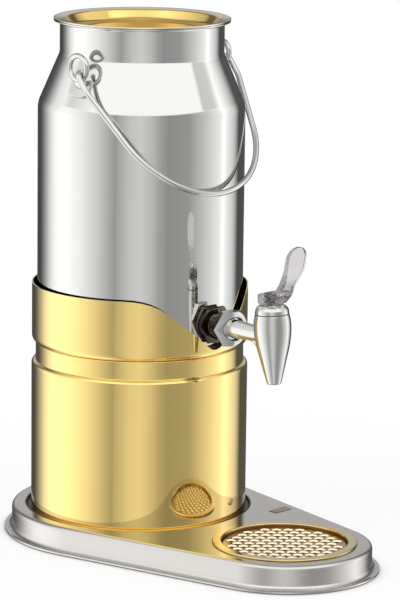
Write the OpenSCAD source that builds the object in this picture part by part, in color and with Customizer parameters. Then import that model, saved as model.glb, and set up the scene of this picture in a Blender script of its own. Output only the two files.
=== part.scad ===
// Milk dispenser: a polished milk can with a lever tap, standing in a gilt column on a
// teardrop base with a lift-out drip tray. Millimetres, +Z up, +X from the can to the drip tray.
// The origin lies on the table, under the middle of the base.

/* [Can] */
// Outside radius of the can
can_r = 82.5; // [78:0.5:90]
// Height from the can's bottom to the start of its shoulder
can_body_h = 188.7; // [170:0.1:230]
// Height of the sloping shoulder
can_shoulder_h = 40.2; // [36:0.1:48]
// How much smaller the radius of the can's neck is than the can's
can_neck_in = 17.3; // [15:0.1:20]
// Height of the can's neck from shoulder to lip
can_neck_h = 25.2; // [20:0.1:34]
// Width of the can's out-turned lip
can_lip_w = 4.8; // [4:0.1:6]
// Wall of the can
can_wall = 1; // [0.8:0.1:1.4]

/* [Lid] */
// Depth of the lid's dish below its brim
lid_depth = 8.4; // [6:0.1:12]
// How much narrower the lid's floor is than its wall
lid_floor_in = 6.3; // [5:0.1:14]
// Radius of the bead round the lid's edge
lid_bead_r = 0.8; // [0.7:0.1:1.2]
// Sheet of the lid
lid_sheet = 0.9; // [0.7:0.1:1.2]

/* [Bail and ears] */
// Radius of the bail's wire
bail_wire_r = 2.3; // [1.8:0.1:2.6]
// How much longer the bail is, from hinge to bow, than the can's radius
bail_over = 37.8; // [35:0.1:55]
// How much smaller the radius of the bail's bow is than the can's
bail_bow_in = 9.8; // [5:0.1:10.5]
// Distance of the hanging bow from the can's wall, at the middle of its wire
bail_stand = 6.54; // [6:0.01:14]
// Distance of the ears in front of the can's axis
ear_x = 10; // [8:0.5:14]
// Height of the ear rings above the start of the shoulder
ear_rise = 35.2; // [33.5:0.1:38]
// Radius of the ear ring at the middle of its wire
ear_ring_r = 9.4; // [9:0.1:10]
// Radius of the ear ring's wire
ear_wire_r = 2.2; // [1.8:0.1:2.4]

/* [Column] */
// Height of the column's drum above its seat in the base
drum_h = 122.1; // [90:0.1:150]
// Height of the narrower neck between drum and collar
drum_neck_h = 15; // [10:0.1:20]
// Step from the drum in to its neck
drum_step = 3.4; // [2.5:0.1:5]
// Sheet of the column and its collar
column_sheet = 0.9; // [0.7:0.1:1.2]

/* [Collar] */
// Gap between the can and the collar round it
can_gap = 3.3; // [2.5:0.1:5]
// Height of the collar
collar_h = 48.3; // [44:0.1:70]
// Height of the lowest corner of the tap notch above the collar's foot
notch_low = 2.3; // [2:0.1:4]
// Slope of the notch's sides
notch_slope = 40; // [36:1:44]
// Rounding at the bottom of the notch
notch_r = 11; // [8:0.5:14]
// Rounding where the notch runs out into the collar's top edge
notch_blend = 40; // [20:1:44]

/* [Base] */
// Height of the base's top above the table
base_h = 21; // [20:0.5:30]
// Width of the base's top outside the column
base_margin = 12.1; // [10:0.1:20]
// Width of the base's top outside the drip tray
nose_margin = 11.8; // [10:0.1:20]
// Distance between the column's recess and the drip tray
tray_gap = 17.6; // [12:0.1:40]
// Sheet of the base
base_sheet = 1.2; // [0.9:0.1:1.5]
// Width of the base's out-turned flange
flange_w = 6; // [5:0.5:9]
// Rounding of the base's top edge
base_edge_r = 3.5; // [2:0.5:5]
// Fillet between the base's wall and its flange
flange_fillet = 4; // [2:0.5:4.5]
// Depth of the recess that the column stands in
recess_depth = 2.5; // [1.5:0.1:4]
// Gap round the column in its recess
recess_gap = 3.4; // [2:0.1:5]

/* [Drip tray] */
// Outside radius of the drip tray's rim
tray_r = 56.7; // [52:0.1:66]
// Width of the drip tray's rim
tray_rim_w = 7.4; // [6:0.1:10]
// Depth of the drip tray below the base's top
tray_depth = 14; // [11:0.5:16]
// Depth of the grille below the drip tray's rim
grille_drop = 3.2; // [2.5:0.1:4]
// Thickness of the grille
grille_t = 1.2; // [0.8:0.1:1.6]
// Distance between neighbouring holes of the grille
grille_pitch = 9.2; // [8:0.1:11]
// Width of the web between neighbouring holes
grille_web = 1.9; // [1.4:0.1:2.6]
// Turn of the grille's honeycomb about its middle
grille_turn = 16; // [0:1:59]

/* [Tap] */
// Height of the tap's shank above the can's bottom
tap_h = 22; // [21.5:0.1:34]
// Forward lean of the spout
tap_lean = 3.5; // [0:0.5:5]
// Widest radius of the tap's body
tap_r = 14.7; // [14:0.1:16]
// Radius of the tap's mouth
mouth_r = 5.5; // [5.2:0.1:6]
// Length of the spout below the shank
spout_len = 36.8; // [34:0.1:44]
// Height from the shank to the joint between body and bonnet
joint_h = 18; // [17.5:0.1:20]
// Height of the bonnet
bonnet_h = 7.4; // [7:0.1:9]
// Length of the shank from the union nut to the tap's axis
shank_len = 39.8; // [36:0.1:50]
// Radius of the shank at the union nut
shank_r = 7.4; // [7:0.1:7.6]
// Width across flats of the nut on the can
can_nut_af = 28; // [26:0.5:29]
// Width across flats of the union nut
union_nut_af = 27; // [25:0.5:29]
// Radius of the threaded nipple
nipple_r = 9.5; // [9:0.1:9.8]
// Length of thread that shows between the two nuts
thread_show = 9.4; // [6:0.1:14]

/* [Lever] */
// Lift of the valve stem per radian of the lever
lever_arm = 5.6; // [5:0.1:6]
// Forward travel of the lever
lever_travel = 45; // [30:1:50]
// Height of the lever's pin above the bonnet
pin_h = 4.6; // [4.4:0.1:5.2]
// Height of the paddle's tip above the pin
paddle_h = 42.4; // [38:0.1:52]
// Forward lean of the paddle's lower half
paddle_lean = 32; // [26:1:34]
// Forward lean of the paddle's upper half
paddle_tip_lean = 12; // [6:1:18]
// Half of the paddle's greatest width
paddle_half_w = 10; // [9:0.1:11]
// Half of the lever foot's width
foot_half_w = 8; // [7:0.1:9]

/* [Hidden] */
$fn = 96;
// Facets of the wide curves that the small seals are cut to
saddle_fn = 720;
// Steps of an arc in an outline, in degrees
arc_step = 12;
// How far a cut runs past what it cuts
over = 2;
// Gap between pieces that rest on or press against each other
seat = 0.05;
// Gap between a resting piece and its seat on another body
rest = 0.1;
// Radial play of a pin or stem that runs in a bore
play = 0.05;
// Play between moving faces that never touch
free = 0.3;

// Radii that follow from the can outwards
collar_r = can_r + can_gap + column_sheet;
drum_swell = 0.3;
drum_r = collar_r + drum_swell;
drum_neck_r = drum_r - drum_step;
recess_r = drum_r + recess_gap;
base_r = recess_r + base_margin;
nose_r = tray_r + nose_margin;
tray_reach = recess_r + tray_gap + tray_r;

// Places of the two axes, with the origin under the middle of the base
axis_x = (base_r - nose_r - tray_reach) / 2;
tray_x = axis_x + tray_reach;

// Heights that follow from the table upwards
foot_stand = 1;
recess_z = base_h - recess_depth;
recess_under_z = recess_z - base_sheet;
drum_z = recess_z + seat;
drum_top_z = drum_z + drum_h;
drum_neck_top_z = drum_top_z + drum_neck_h;
collar_z = drum_neck_top_z + seat;
collar_top_z = collar_z + collar_h;
shelf_h = 2.8;
shelf_z = collar_z + column_sheet + seat;
can_z = shelf_z + shelf_h + rest;
can_shoulder_z = can_z + can_body_h;
can_neck_z = can_shoulder_z + can_shoulder_h;
can_lip_z = can_neck_z + can_neck_h;
brim_z = can_lip_z + can_wall + rest + 2 * lid_bead_r;
tap_z = can_z + tap_h;

// Small sizes of the can
can_foot_r = 7;
can_foot_dish = 2.5;
can_foot_flat = 12;
can_shoulder_round = 20;
can_seam_straight = 0.6;
can_neck_round = 8;
can_lip_round = 2.2;
can_neck_r = can_r - can_neck_in;
shoulder_angle = atan2(can_neck_in, can_shoulder_h);
can_seam_drop = can_shoulder_round * tan(shoulder_angle / 2) + can_seam_straight;
can_lip_r = can_neck_r + can_lip_w;

// Small sizes of the lid
lid_play = 1;
lid_floor_round = 6;
lid_brim_round = 3;
lid_wall_r = can_neck_r - can_wall - lid_play - lid_sheet;
lid_floor_r = lid_wall_r - lid_floor_in;
lid_bead_at = can_lip_r - 0.7 * lid_bead_r;

// Small sizes of the ears and the bail
ear_foot_w = 19;
ear_foot_h = 13;
ear_foot_top = 1;
ear_foot_back = 2;
ear_foot_t = 2.2;
ear_foot_round = 5;
ear_web_w = 9;
ear_web_t = 3;
ear_web_low = 16;
ear_stand = 9.55;
bail_side_gap = 0.5;
bail_straight = 18.5;
bail_forward = 3.5;
bail_knee_r = 14;
bail_elbow_r = 5;
bail_stub = 4.2;
bend_thin = 0.03;
bend_lap = 0.4;
ear_z = can_shoulder_z + ear_rise;
bail_reach = can_r + bail_over;
bail_bow_r = can_r - bail_bow_in;
hinge_x = ear_x + bail_forward;
bail_hang = asin((can_r + bail_stand - hinge_x) / bail_reach);
hinge_z = ear_z - sqrt(pow(ear_ring_r - ear_wire_r - bail_wire_r - free, 2) - pow(bail_forward, 2));
ear_y = can_r - (hinge_z - can_shoulder_z) * tan(shoulder_angle) + ear_stand;
bail_half_w = ear_y + ear_wire_r + bail_side_gap + bail_wire_r;

// Small sizes of the column, collar and shelf
drum_foot_round = 3;
drum_shoulder_round = 3.4;
drum_neck_round = 0.8;
drum_lip_w = 12;
collar_round = 5;
shelf_w = 14;
lip_hole_r = 2.1;
shelf_screw_count = 4;
shelf_screw_r = 2;
shelf_head_r = 3.8;
shelf_head_h = 2;
shelf_screw_in = 6.5;
shelf_nut_af = 7;
shelf_nut_h = 3.2;
base_screw_count = 4;
base_screw_turn = 45;
base_screw_r = 2;
base_head_r = 3.8;
base_head_h = 2.4;
base_nut_af = 7;
base_nut_h = 3.2;
base_screw_in = 6.5;
screw_play = 0.1;
screw_tail = 1.2;

// Small sizes of the cooling pack
pack_gap = 3;
pack_round = 6;
pack_headroom = 14;
cap_r = 16;
cap_h = 8;
cap_groove_count = 18;
cap_groove_r = 0.9;

// Small sizes of the base and its feet
base_lap = 4;
recess_round = 1.2;
foot_r = 9;
foot_taper = 1.5;
foot_sink = 4;
nose_foot_r = 5;
nose_foot_turn = 62;
nose_foot_in = 6.2;

// Small sizes of the drip tray and grille
tray_sheet = 0.9;
tray_rim_lift = 1.6;
tray_play = 0.6;
tray_seat_w = 3.4;
tray_floor_round = 5;
tray_bend_r = 1.1;
grille_play = 1.1;
grille_border = 3.2;

// Small sizes of the tap, outwards from the can's wall
nipple_bore_r = 4.5;
nipple_head_r = 13;
nipple_head_t = 3;
seal_r = 13;
seal_t = 1;
inner_seal_t = 1.5;
can_nut_h = 5;
can_nut_turn = 14;
union_grip = 5;
washer_t = 1.5;
shank_flange_t = 1.9;
shank_flange_r = 9.2;
union_lip_t = 2;
union_bore_gap = 0.8;
nut_chamfer = 1.4;
tap_bore_r = 4;
chamber_r = 8.6;
chamber_floor = 9;
widest_h = 9;
body_bow_r = 77;
body_bow_len = 18.7;
body_crown_r = 34;
mouth_round = 1;
shank_end_r = 6;
web_t = 6;
web_reach = 14;
web_drop = 9;
bonnet_plug_r = 11;
bonnet_plug_h = 7;
bonnet_roof = 5;
bonnet_cavity_r = 8;
bonnet_round = 4.5;
bonnet_top_in = 0.9;
gasket_t = 0.5;
stem_r = 2.5;
stem_collar_r = 6.6;
stem_collar_t = 1.5;
stem_collar_h = 2;
stem_eye_r = 3.8;
stem_eye_w = 5;
ring_wire_r = 0.75;
ring_gap = 0.3;
ring_depth = 2.4;
plug_r = 6.2;
plug_h = 4.4;
plug_taper = 1.4;
spring_wire_r = 0.6;
spring_r = 5.2;
spring_curls = 6;
spring_rings = 8;
spring_sides = 6;

// Small sizes of the lever
pin_r = 1.5;
foot_back = 8;
foot_back_h = 2.2;
foot_top_h = 6.6;
foot_round = 1.5;
toe_round = 2;
paddle_root_x = 12.8;
paddle_root_t = 6.4;
paddle_bend_h = 23.5;
paddle_bend_t = 5;
paddle_bend_round = 24;
paddle_tip_t = 4;
paddle_root_round = 6;
paddle_tip_round = 1.5;
neck_half_w = 6.3;
neck_h = 11;
shoulder_h = 5;
bulge_h = 25;
neck_round = 9;
bulge_round = 14;
slot_top = 4.6;
toe_steps = 8;

// Distances along the tap from the can's axis
seal_x = can_r + seal_t;
can_nut_x = seal_x + seat;
union_x = can_nut_x + can_nut_h + thread_show;
nipple_end_x = union_x + union_grip;
washer_x = nipple_end_x + seat;
shank_x = washer_x + washer_t + seat;
union_lip_x = shank_x + shank_flange_t + seat;
union_end_x = union_lip_x + union_lip_t;
tap_x = union_end_x + shank_len;

// Heights in the tap, measured along its axis from the shank
bonnet_z = joint_h + gasket_t + seat;
bonnet_top = bonnet_z + bonnet_h;
bonnet_ceiling = bonnet_top - bonnet_roof;
pin_z = bonnet_top + pin_h;
spring_low = stem_collar_h + stem_collar_t + seat + spring_wire_r;
spring_high = bonnet_ceiling - seat - spring_wire_r;

// Outlines are lists of corners [x, y] or [x, y, rounding].
function place(p) = [p[0], p[1]];
function rounding(p) = len(p) > 2 ? p[2] : 0;
function unit(v) = v / norm(v);
function left_of(v) = [-v[1], v[0]];
function reversed(list) = [for (i = [len(list) - 1 : -1 : 0]) list[i]];
function moved(list, by) = [for (p = list) p + by];
function heading(path, i) = unit(place(path[i + 1]) - place(path[i]));
function swing(from, to) =
    let (d = to - from)
    d > 180 ? d - 360 : d < -180 ? d + 360 : d;
function polar(r, angle) = r * [cos(angle), sin(angle)];
function bearing(v) = atan2(v[1], v[0]);

// The arc that rounds corner b between a and c: its centre, first bearing and turn.
function half_angle(a, b, c) = acos(unit(a - b) * unit(c - b)) / 2;
function arc_centre(a, b, c, r) = b + unit(unit(a - b) + unit(c - b)) * r / sin(half_angle(a, b, c));
function arc_leg(a, b, c, r) = r / tan(half_angle(a, b, c));
function arc_first(a, b, c, r) =
    bearing(b + unit(a - b) * arc_leg(a, b, c, r) - arc_centre(a, b, c, r));
function arc_last(a, b, c, r) =
    bearing(b + unit(c - b) * arc_leg(a, b, c, r) - arc_centre(a, b, c, r));
function arc_turn(a, b, c, r) = swing(arc_first(a, b, c, r), arc_last(a, b, c, r));
function arc(centre, r, first, turn) =
    let (steps = max(2, ceil(abs(turn) / arc_step)))
    [for (k = [0 : steps]) centre + polar(r, first + turn * k / steps)];
function rounded(a, b, c, r) =
    r <= 0 ? [b] : arc(arc_centre(a, b, c, r), r, arc_first(a, b, c, r), arc_turn(a, b, c, r));

// An open outline with its corners rounded, and a closed one.
function open_path(corners) =
    let (last = len(corners) - 1)
    [for (i = [0 : last])
        each i == 0 || i == last ? [place(corners[i])]
            : rounded(place(corners[i - 1]), place(corners[i]), place(corners[i + 1]), rounding(corners[i]))];
function closed_path(corners) =
    let (n = len(corners))
    [for (i = [0 : n - 1])
        each rounded(place(corners[(i + n - 1) % n]), place(corners[i]), place(corners[(i + 1) % n]),
            rounding(corners[i]))];

// The same open outline moved sideways by t, to the left of its run.
function beside(corners, t) =
    let (last = len(corners) - 1)
    [for (i = [0 : last])
        let (
            before = left_of(heading(corners, max(i - 1, 0))),
            after = left_of(heading(corners, min(i, last - 1))),
            p = place(corners[i]) + t * (before + after) / (1 + before * after),
            r = rounding(corners[i])
        )
        [p[0], p[1], r <= 0 ? 0 : cross(before, after) > 0 ? r - t : r + t]];

// A sheet of thickness t along an open outline.
function sheet(corners, t) = concat(open_path(corners), reversed(open_path(beside(corners, t))));

module spun(outline) {
    rotate_extrude() polygon(outline);
}

module rod_x(r, x0, x1) {
    translate([x0, 0, 0]) rotate([0, 90, 0]) cylinder(h = x1 - x0, r = r);
}

module rod_y(r, y0, y1) {
    translate([0, y0, 0]) rotate([-90, 0, 0]) cylinder(h = y1 - y0, r = r);
}

module ring_of(count, r, turn = 0) {
    for (k = [0 : count - 1]) rotate(turn + 360 * k / count) translate([r, 0, 0]) children();
}

module on_can() {
    translate([axis_x, 0, 0]) children();
}

module on_tray() {
    translate([tray_x, 0, 0]) children();
}

// Along the shank, with x from the can's axis.
module on_shank() {
    translate([axis_x, 0, tap_z]) children();
}

// Along the tap's own leaning axis, with z from the shank.
module on_tap() {
    translate([axis_x + tap_x, 0, tap_z]) rotate([0, -tap_lean, 0]) children();
}

// A hexagon nut along x, with its outer corners turned off.
module nut_x(af, x0, x1, chamfer, turn = 0) {
    corner_r = af / sqrt(3);
    intersection() {
        translate([x0, 0, 0]) rotate([turn, 0, 0]) rotate([0, 90, 0])
            cylinder(h = x1 - x0, r = corner_r, $fn = 6);
        translate([x0, 0, 0]) rotate([0, 90, 0]) spun([
            [0, 0], [af / 2 - chamfer / 4, 0], [corner_r + over, chamfer],
            [corner_r + over, x1 - x0 - chamfer], [af / 2 - chamfer / 2, x1 - x0], [0, x1 - x0]
        ]);
    }
}

module nut_z(af, bore_r, h) {
    difference() {
        cylinder(h = h, r = af / sqrt(3), $fn = 6);
        translate([0, 0, -over]) cylinder(h = h + 2 * over, r = bore_r);
    }
}

// Base

base_run = sqrt(pow(tray_reach, 2) - pow(base_r - nose_r, 2));
base_turn = acos((base_r - nose_r) / tray_reach);
function base_corners(thin) = [
    [thin - base_edge_r - base_lap, base_h], [0, base_h, base_edge_r],
    [0, foot_stand + base_sheet, flange_fillet], [flange_w - thin, foot_stand + base_sheet]
];
function base_edge(r, thin) = moved(concat(
    open_path(beside(base_corners(thin), -thin)),
    reversed(open_path(beside(base_corners(thin), thin - base_sheet)))
), [r, 0]);

// A rounded end of the base's rim, a hair thinner than the straight sides and run a little way into them.
module base_end(r, first, turn) {
    lap = bend_lap / r * 180 / PI;
    rotate(first - lap) rotate_extrude(angle = turn + 2 * lap) polygon(base_edge(r, bend_thin));
}

module base_rim() {
    base_end(base_r, base_turn, 360 - 2 * base_turn);
    translate([tray_reach, 0, 0]) base_end(nose_r, -base_turn, 2 * base_turn);
    for (flip = [0, 1]) mirror([0, flip, 0]) rotate(base_turn) rotate([90, 0, 0])
        linear_extrude(base_run) polygon(base_edge(base_r, 0));
}

// The flat top, whose edge lies under the rim's.
module base_plan() {
    inset = base_edge_r + base_lap / 2;
    side_r = base_r - inset - base_lap / 8;
    nose_side_r = nose_r - inset - base_lap / 8;
    circle(base_r - inset);
    translate([tray_reach, 0]) circle(nose_r - inset);
    polygon([
        polar(side_r, -base_turn), polar(nose_side_r, -base_turn) + [tray_reach, 0],
        polar(nose_side_r, base_turn) + [tray_reach, 0], polar(side_r, base_turn)
    ]);
}

base_screw_at = drum_r - base_screw_in;
tray_hole_r = tray_r - tray_rim_w + tray_sheet + tray_play;

module base_tray() {
    color("Gainsboro") on_can() difference() {
        union() {
            base_rim();
            translate([0, 0, base_h - base_sheet + 2 * bend_thin]) linear_extrude(base_sheet - 4 * bend_thin)
                difference() {
                    base_plan();
                    circle(recess_r + base_lap / 2);
                }
            spun(sheet([
                [0, recess_z], [recess_r, recess_z, recess_round],
                [recess_r, base_h, recess_round], [recess_r + base_lap, base_h]
            ], -base_sheet));
        }
        translate([tray_reach, 0, 0]) cylinder(h = base_h + over, r = tray_hole_r);
        ring_of(base_screw_count, base_screw_at, base_screw_turn)
            cylinder(h = base_h, r = base_screw_r + screw_play);
    }
}

module foot(r, top) {
    spun([[0, 0], [r - foot_taper, 0], [r, top], [0, top]]);
}

nose_foot_at = nose_r - nose_foot_in - base_sheet;

module base_feet() {
    color("DimGray") {
        on_can() ring_of(base_screw_count, base_screw_at, base_screw_turn) difference() {
            foot(foot_r, recess_under_z - seat);
            translate([0, 0, -over]) cylinder(h = foot_sink + base_head_h + over + seat, r = base_head_r + screw_play);
            cylinder(h = base_h, r = base_screw_r + screw_play);
        }
        for (turn = [-nose_foot_turn, nose_foot_turn]) on_tray() rotate(turn) translate([nose_foot_at, 0, 0])
            foot(nose_foot_r, base_h - base_sheet - seat);
    }
}

base_nut_z = drum_z + column_sheet + seat;

module base_screws() {
    color("Silver") on_can() ring_of(base_screw_count, base_screw_at, base_screw_turn) {
        translate([0, 0, foot_sink]) cylinder(h = base_head_h, r = base_head_r);
        translate([0, 0, foot_sink]) cylinder(h = base_nut_z + base_nut_h + screw_tail - foot_sink, r = base_screw_r);
    }
}

module base_nuts() {
    color("Silver") on_can() ring_of(base_screw_count, base_screw_at, base_screw_turn)
        translate([0, 0, base_nut_z]) nut_z(base_nut_af, base_screw_r + seat, base_nut_h);
}

// Column

module column_drum() {
    color("Gold") on_can() difference() {
        spun(sheet([
            [drum_r - drum_lip_w, drum_z], [drum_r, drum_z, drum_foot_round],
            [drum_r, drum_top_z, drum_shoulder_round], [drum_neck_r, drum_top_z, drum_neck_round],
            [drum_neck_r, drum_neck_top_z, drum_neck_round], [drum_neck_r - drum_lip_w, drum_neck_top_z]
        ], column_sheet));
        ring_of(base_screw_count, base_screw_at, base_screw_turn)
            translate([0, 0, drum_z - over]) cylinder(h = over + 2 * column_sheet, r = lip_hole_r);
        ring_of(shelf_screw_count, shelf_screw_at)
            translate([0, 0, drum_neck_top_z - 2 * column_sheet])
                cylinder(h = over + 2 * column_sheet, r = lip_hole_r);
    }
}

shelf_r = collar_r - collar_round - seat;
shelf_screw_at = shelf_r - shelf_screw_in;

// The outline cut out of the collar for the tap, seen from the front.
module notch() {
    low = collar_z + notch_low;
    corner_y = (collar_top_z - low) / tan(notch_slope);
    out_y = corner_y + notch_blend * tan(notch_slope / 2) + over;
    polygon(closed_path([
        [-out_y, collar_top_z + over], [-out_y, collar_top_z], [-corner_y, collar_top_z, notch_blend],
        [0, low, notch_r], [corner_y, collar_top_z, notch_blend], [out_y, collar_top_z],
        [out_y, collar_top_z + over]
    ]));
}

module collar() {
    color("Gold") on_can() difference() {
        spun(sheet([
            [drum_neck_r - drum_lip_w, collar_z], [collar_r, collar_z, collar_round], [collar_r, collar_top_z]
        ], column_sheet));
        rotate([90, 0, 90]) linear_extrude(collar_r + over) notch();
        ring_of(shelf_screw_count, shelf_screw_at)
            translate([0, 0, collar_z - over]) cylinder(h = over + 2 * column_sheet, r = lip_hole_r);
    }
}

module can_shelf() {
    color("WhiteSmoke") on_can() translate([0, 0, shelf_z]) difference() {
        cylinder(h = shelf_h, r = shelf_r);
        translate([0, 0, -over]) cylinder(h = shelf_h + 2 * over, r = shelf_r - shelf_w);
        ring_of(shelf_screw_count, shelf_screw_at) {
            translate([0, 0, -over]) cylinder(h = shelf_h + over, r = shelf_screw_r + screw_play);
            translate([0, 0, shelf_h - shelf_head_h - screw_play])
                cylinder(h = shelf_head_h + over, r = shelf_head_r + screw_play);
        }
    }
}

shelf_nut_z = drum_neck_top_z - column_sheet - seat - shelf_nut_h;

module shelf_screws() {
    color("Silver") on_can() ring_of(shelf_screw_count, shelf_screw_at) {
        translate([0, 0, shelf_z + shelf_h - shelf_head_h]) cylinder(h = shelf_head_h - rest, r = shelf_head_r);
        translate([0, 0, shelf_nut_z - screw_tail])
            cylinder(h = shelf_z + shelf_h - shelf_head_h / 2 - shelf_nut_z + screw_tail, r = shelf_screw_r);
    }
}

module shelf_nuts() {
    color("Silver") on_can() ring_of(shelf_screw_count, shelf_screw_at)
        translate([0, 0, shelf_nut_z]) nut_z(shelf_nut_af, shelf_screw_r + seat, shelf_nut_h);
}

pack_r = drum_r - drum_lip_w - pack_gap;
pack_top_z = drum_neck_top_z - pack_headroom;

module cool_pack() {
    color("LightSkyBlue") on_can() spun(closed_path([
        [0, recess_z + seat], [pack_r, recess_z + seat, pack_round], [pack_r, pack_top_z, pack_round],
        [0, pack_top_z]
    ]));
}

module pack_cap() {
    color("RoyalBlue") on_can() translate([0, 0, pack_top_z + seat]) difference() {
        cylinder(h = cap_h, r = cap_r);
        ring_of(cap_groove_count, cap_r) translate([0, 0, -over]) cylinder(h = cap_h + 2 * over, r = cap_groove_r);
    }
}

// Drip tray

tray_seat_z = base_h + tray_rim_lift - grille_drop - grille_t;
grille_z = tray_seat_z + rest;
tray_well_r = tray_r - tray_rim_w;
grille_r = tray_well_r - grille_play;

module drip_tray() {
    color("Gold") on_tray() spun(sheet([
        [0, base_h - tray_depth], [tray_well_r - tray_seat_w, base_h - tray_depth, tray_floor_round],
        [tray_well_r - tray_seat_w, tray_seat_z, tray_bend_r], [tray_well_r, tray_seat_z, tray_bend_r],
        [tray_well_r, base_h + tray_rim_lift, tray_bend_r], [tray_r, base_h + tray_rim_lift, tray_bend_r],
        [tray_r, base_h + rest]
    ], -tray_sheet));
}

module drip_grille() {
    hole_r = (grille_pitch - grille_web) / sqrt(3);
    row_step = grille_pitch * sqrt(3) / 2;
    rows = floor((grille_r - grille_border) / row_step);
    cols = floor((grille_r - grille_border) / grille_pitch) + 1;
    color("Gold") on_tray() translate([0, 0, grille_z]) linear_extrude(grille_t) difference() {
        circle(grille_r);
        for (row = [-rows : rows], col = [-cols : cols]) {
            spot = [row * row_step, (col + (row % 2 == 0 ? 0 : 1 / 2)) * grille_pitch];
            if (norm(spot) + hole_r < grille_r - grille_border + hole_r / 2)
                rotate(grille_turn) translate(spot) circle(hole_r, $fn = 6);
        }
    }
}

// Can

// The can is welded from a pressed bottom, a rolled wall and a shoulder with neck and lip.
can_low_seam_z = can_z + can_foot_r + seat;
can_top_seam_z = can_shoulder_z - can_seam_drop;

module can_bottom() {
    color("Silver") on_can() spun(sheet([
        [0, can_z + can_foot_dish], [can_r - can_foot_r - can_foot_flat, can_z + can_foot_dish, can_foot_r],
        [can_r - can_foot_r - can_foot_flat / 2, can_z, can_foot_r], [can_r, can_z, can_foot_r],
        [can_r, can_low_seam_z]
    ], can_wall));
}

module can_body() {
    color("Silver") on_can() difference() {
        spun(sheet([[can_r, can_low_seam_z + seat], [can_r, can_top_seam_z]], can_wall));
        translate([0, 0, tap_z]) rod_x(nipple_r + play, 0, can_r + over);
    }
}

module can_top() {
    color("Silver") on_can() spun(sheet([
        [can_r, can_top_seam_z + seat], [can_r, can_shoulder_z, can_shoulder_round],
        [can_neck_r, can_neck_z, can_neck_round], [can_neck_r, can_lip_z, can_lip_round], [can_lip_r, can_lip_z]
    ], can_wall));
}

module lid() {
    color("Gold") on_can() {
        spun(sheet([
            [0, brim_z - lid_bead_r - lid_depth], [lid_floor_r, brim_z - lid_bead_r - lid_depth, lid_floor_round],
            [lid_wall_r, brim_z - lid_bead_r, lid_brim_round], [lid_bead_at, brim_z - lid_bead_r + lid_sheet / 2]
        ], -lid_sheet));
        rotate_extrude() translate([lid_bead_at, brim_z - lid_bead_r]) circle(lid_bead_r);
    }
}

// The can's shoulder as a solid, grown by a distance square to its slope.
module shoulder(grow) {
    out = grow / cos(shoulder_angle);
    spun([
        [0, can_shoulder_z], [can_r + out, can_shoulder_z], [can_neck_r + out, can_neck_z], [0, can_neck_z]
    ]);
}

module ear() {
    foot_z = ear_z - ear_ring_r - ear_foot_top - ear_foot_h / 2;
    translate([ear_x, ear_y, ear_z]) rotate([90, 0, 0])
        rotate_extrude() translate([ear_ring_r, 0]) circle(ear_wire_r);
    difference() {
        intersection() {
            shoulder(ear_foot_t + seat);
            translate([ear_x - ear_foot_back, 0, foot_z]) rotate([-90, 0, 0]) linear_extrude(can_r + over)
                polygon(closed_path([
                    [-ear_foot_w / 2, -ear_foot_h / 2], [ear_foot_w / 2, -ear_foot_h / 2],
                    [ear_foot_w / 2, ear_foot_h / 2, ear_foot_round], [-ear_foot_w / 2, ear_foot_h / 2, ear_foot_round]
                ]));
        }
        shoulder(seat);
    }
    difference() {
        translate([ear_x, ear_y, ear_z]) rotate([90, 0, 0])
            translate([0, 0, -ear_web_t / 2]) linear_extrude(ear_y + ear_web_t / 2) polygon([
                [-ear_web_w / 2, -ear_web_low], [ear_web_w / 2, -ear_web_low],
                [ear_ring_r / 2, -ear_ring_r], [-ear_ring_r / 2, -ear_ring_r]
            ]);
        shoulder(seat);
        translate([ear_x, 0, ear_z]) rod_y(ear_ring_r - ear_wire_r, 0, can_r + over);
    }
}

module left_ear() {
    color("Silver") on_can() mirror([0, 1, 0]) ear();
}

module right_ear() {
    color("Silver") on_can() ear();
}

// Bail, drawn flat with x away from its hinge, then hung from the ears

bow_x = bail_reach - bail_bow_r;
knee = [bail_straight, bail_half_w];
bow_turn = bearing(knee - [bow_x, 0]) - acos(bail_bow_r / norm(knee - [bow_x, 0]));
bow_end = [bow_x, 0] + polar(bail_bow_r, bow_turn);
bail_end = [0, ear_y - bail_stub];
bail_corner = [0, bail_half_w];

module wire(from, to) {
    translate(concat(from, 0)) rotate(bearing(to - from)) rod_x(bail_wire_r, 0, norm(to - from));
}

// A bend of the wire, a hair thinner than the straights and run a little way into them.
module bend(centre, r, first, turn) {
    lap = bend_lap / r * 180 / PI;
    translate(concat(centre, 0)) rotate(first - lap) rotate_extrude(angle = turn + 2 * lap)
        translate([r, 0]) circle(bail_wire_r - bend_thin);
}

module bend_at(a, b, c, r) {
    turn = arc_turn(a, b, c, r);
    bend(arc_centre(a, b, c, r), r, arc_first(a, b, c, r) + min(turn, 0), abs(turn));
}

module bail() {
    elbow_leg = arc_leg(bail_end, bail_corner, knee, bail_elbow_r);
    knee_leg = arc_leg(bail_corner, knee, bow_end, bail_knee_r);
    run = unit(bow_end - knee);
    color("Silver") on_can() translate([hinge_x, 0, hinge_z]) rotate([0, 90 - bail_hang, 0]) {
        bend([bow_x, 0], bail_bow_r, -bow_turn, 2 * bow_turn);
        for (flip = [0, 1]) mirror([0, flip, 0]) {
            wire(bow_end, knee + run * knee_leg);
            bend_at(bail_corner, knee, bow_end, bail_knee_r);
            wire([elbow_leg, bail_half_w], knee - [knee_leg, 0]);
            bend_at(bail_end, bail_corner, knee, bail_elbow_r);
            wire(bail_end, bail_corner - [0, elbow_leg]);
            translate(concat(bail_end, 0)) sphere(bail_wire_r);
        }
    }
}

// Tap

module inner_seal() {
    color("WhiteSmoke") intersection() {
        on_shank() difference() {
            rod_x(seal_r, can_r - can_wall - seal_t - inner_seal_t, can_r);
            rod_x(nipple_r + play, 0, can_r + over);
        }
        on_can() translate([0, 0, can_z]) cylinder(h = can_body_h, r = can_r - can_wall - seat, $fn = saddle_fn);
    }
}

nipple_head_x = can_r - can_wall - seal_t - inner_seal_t - seat;

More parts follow.
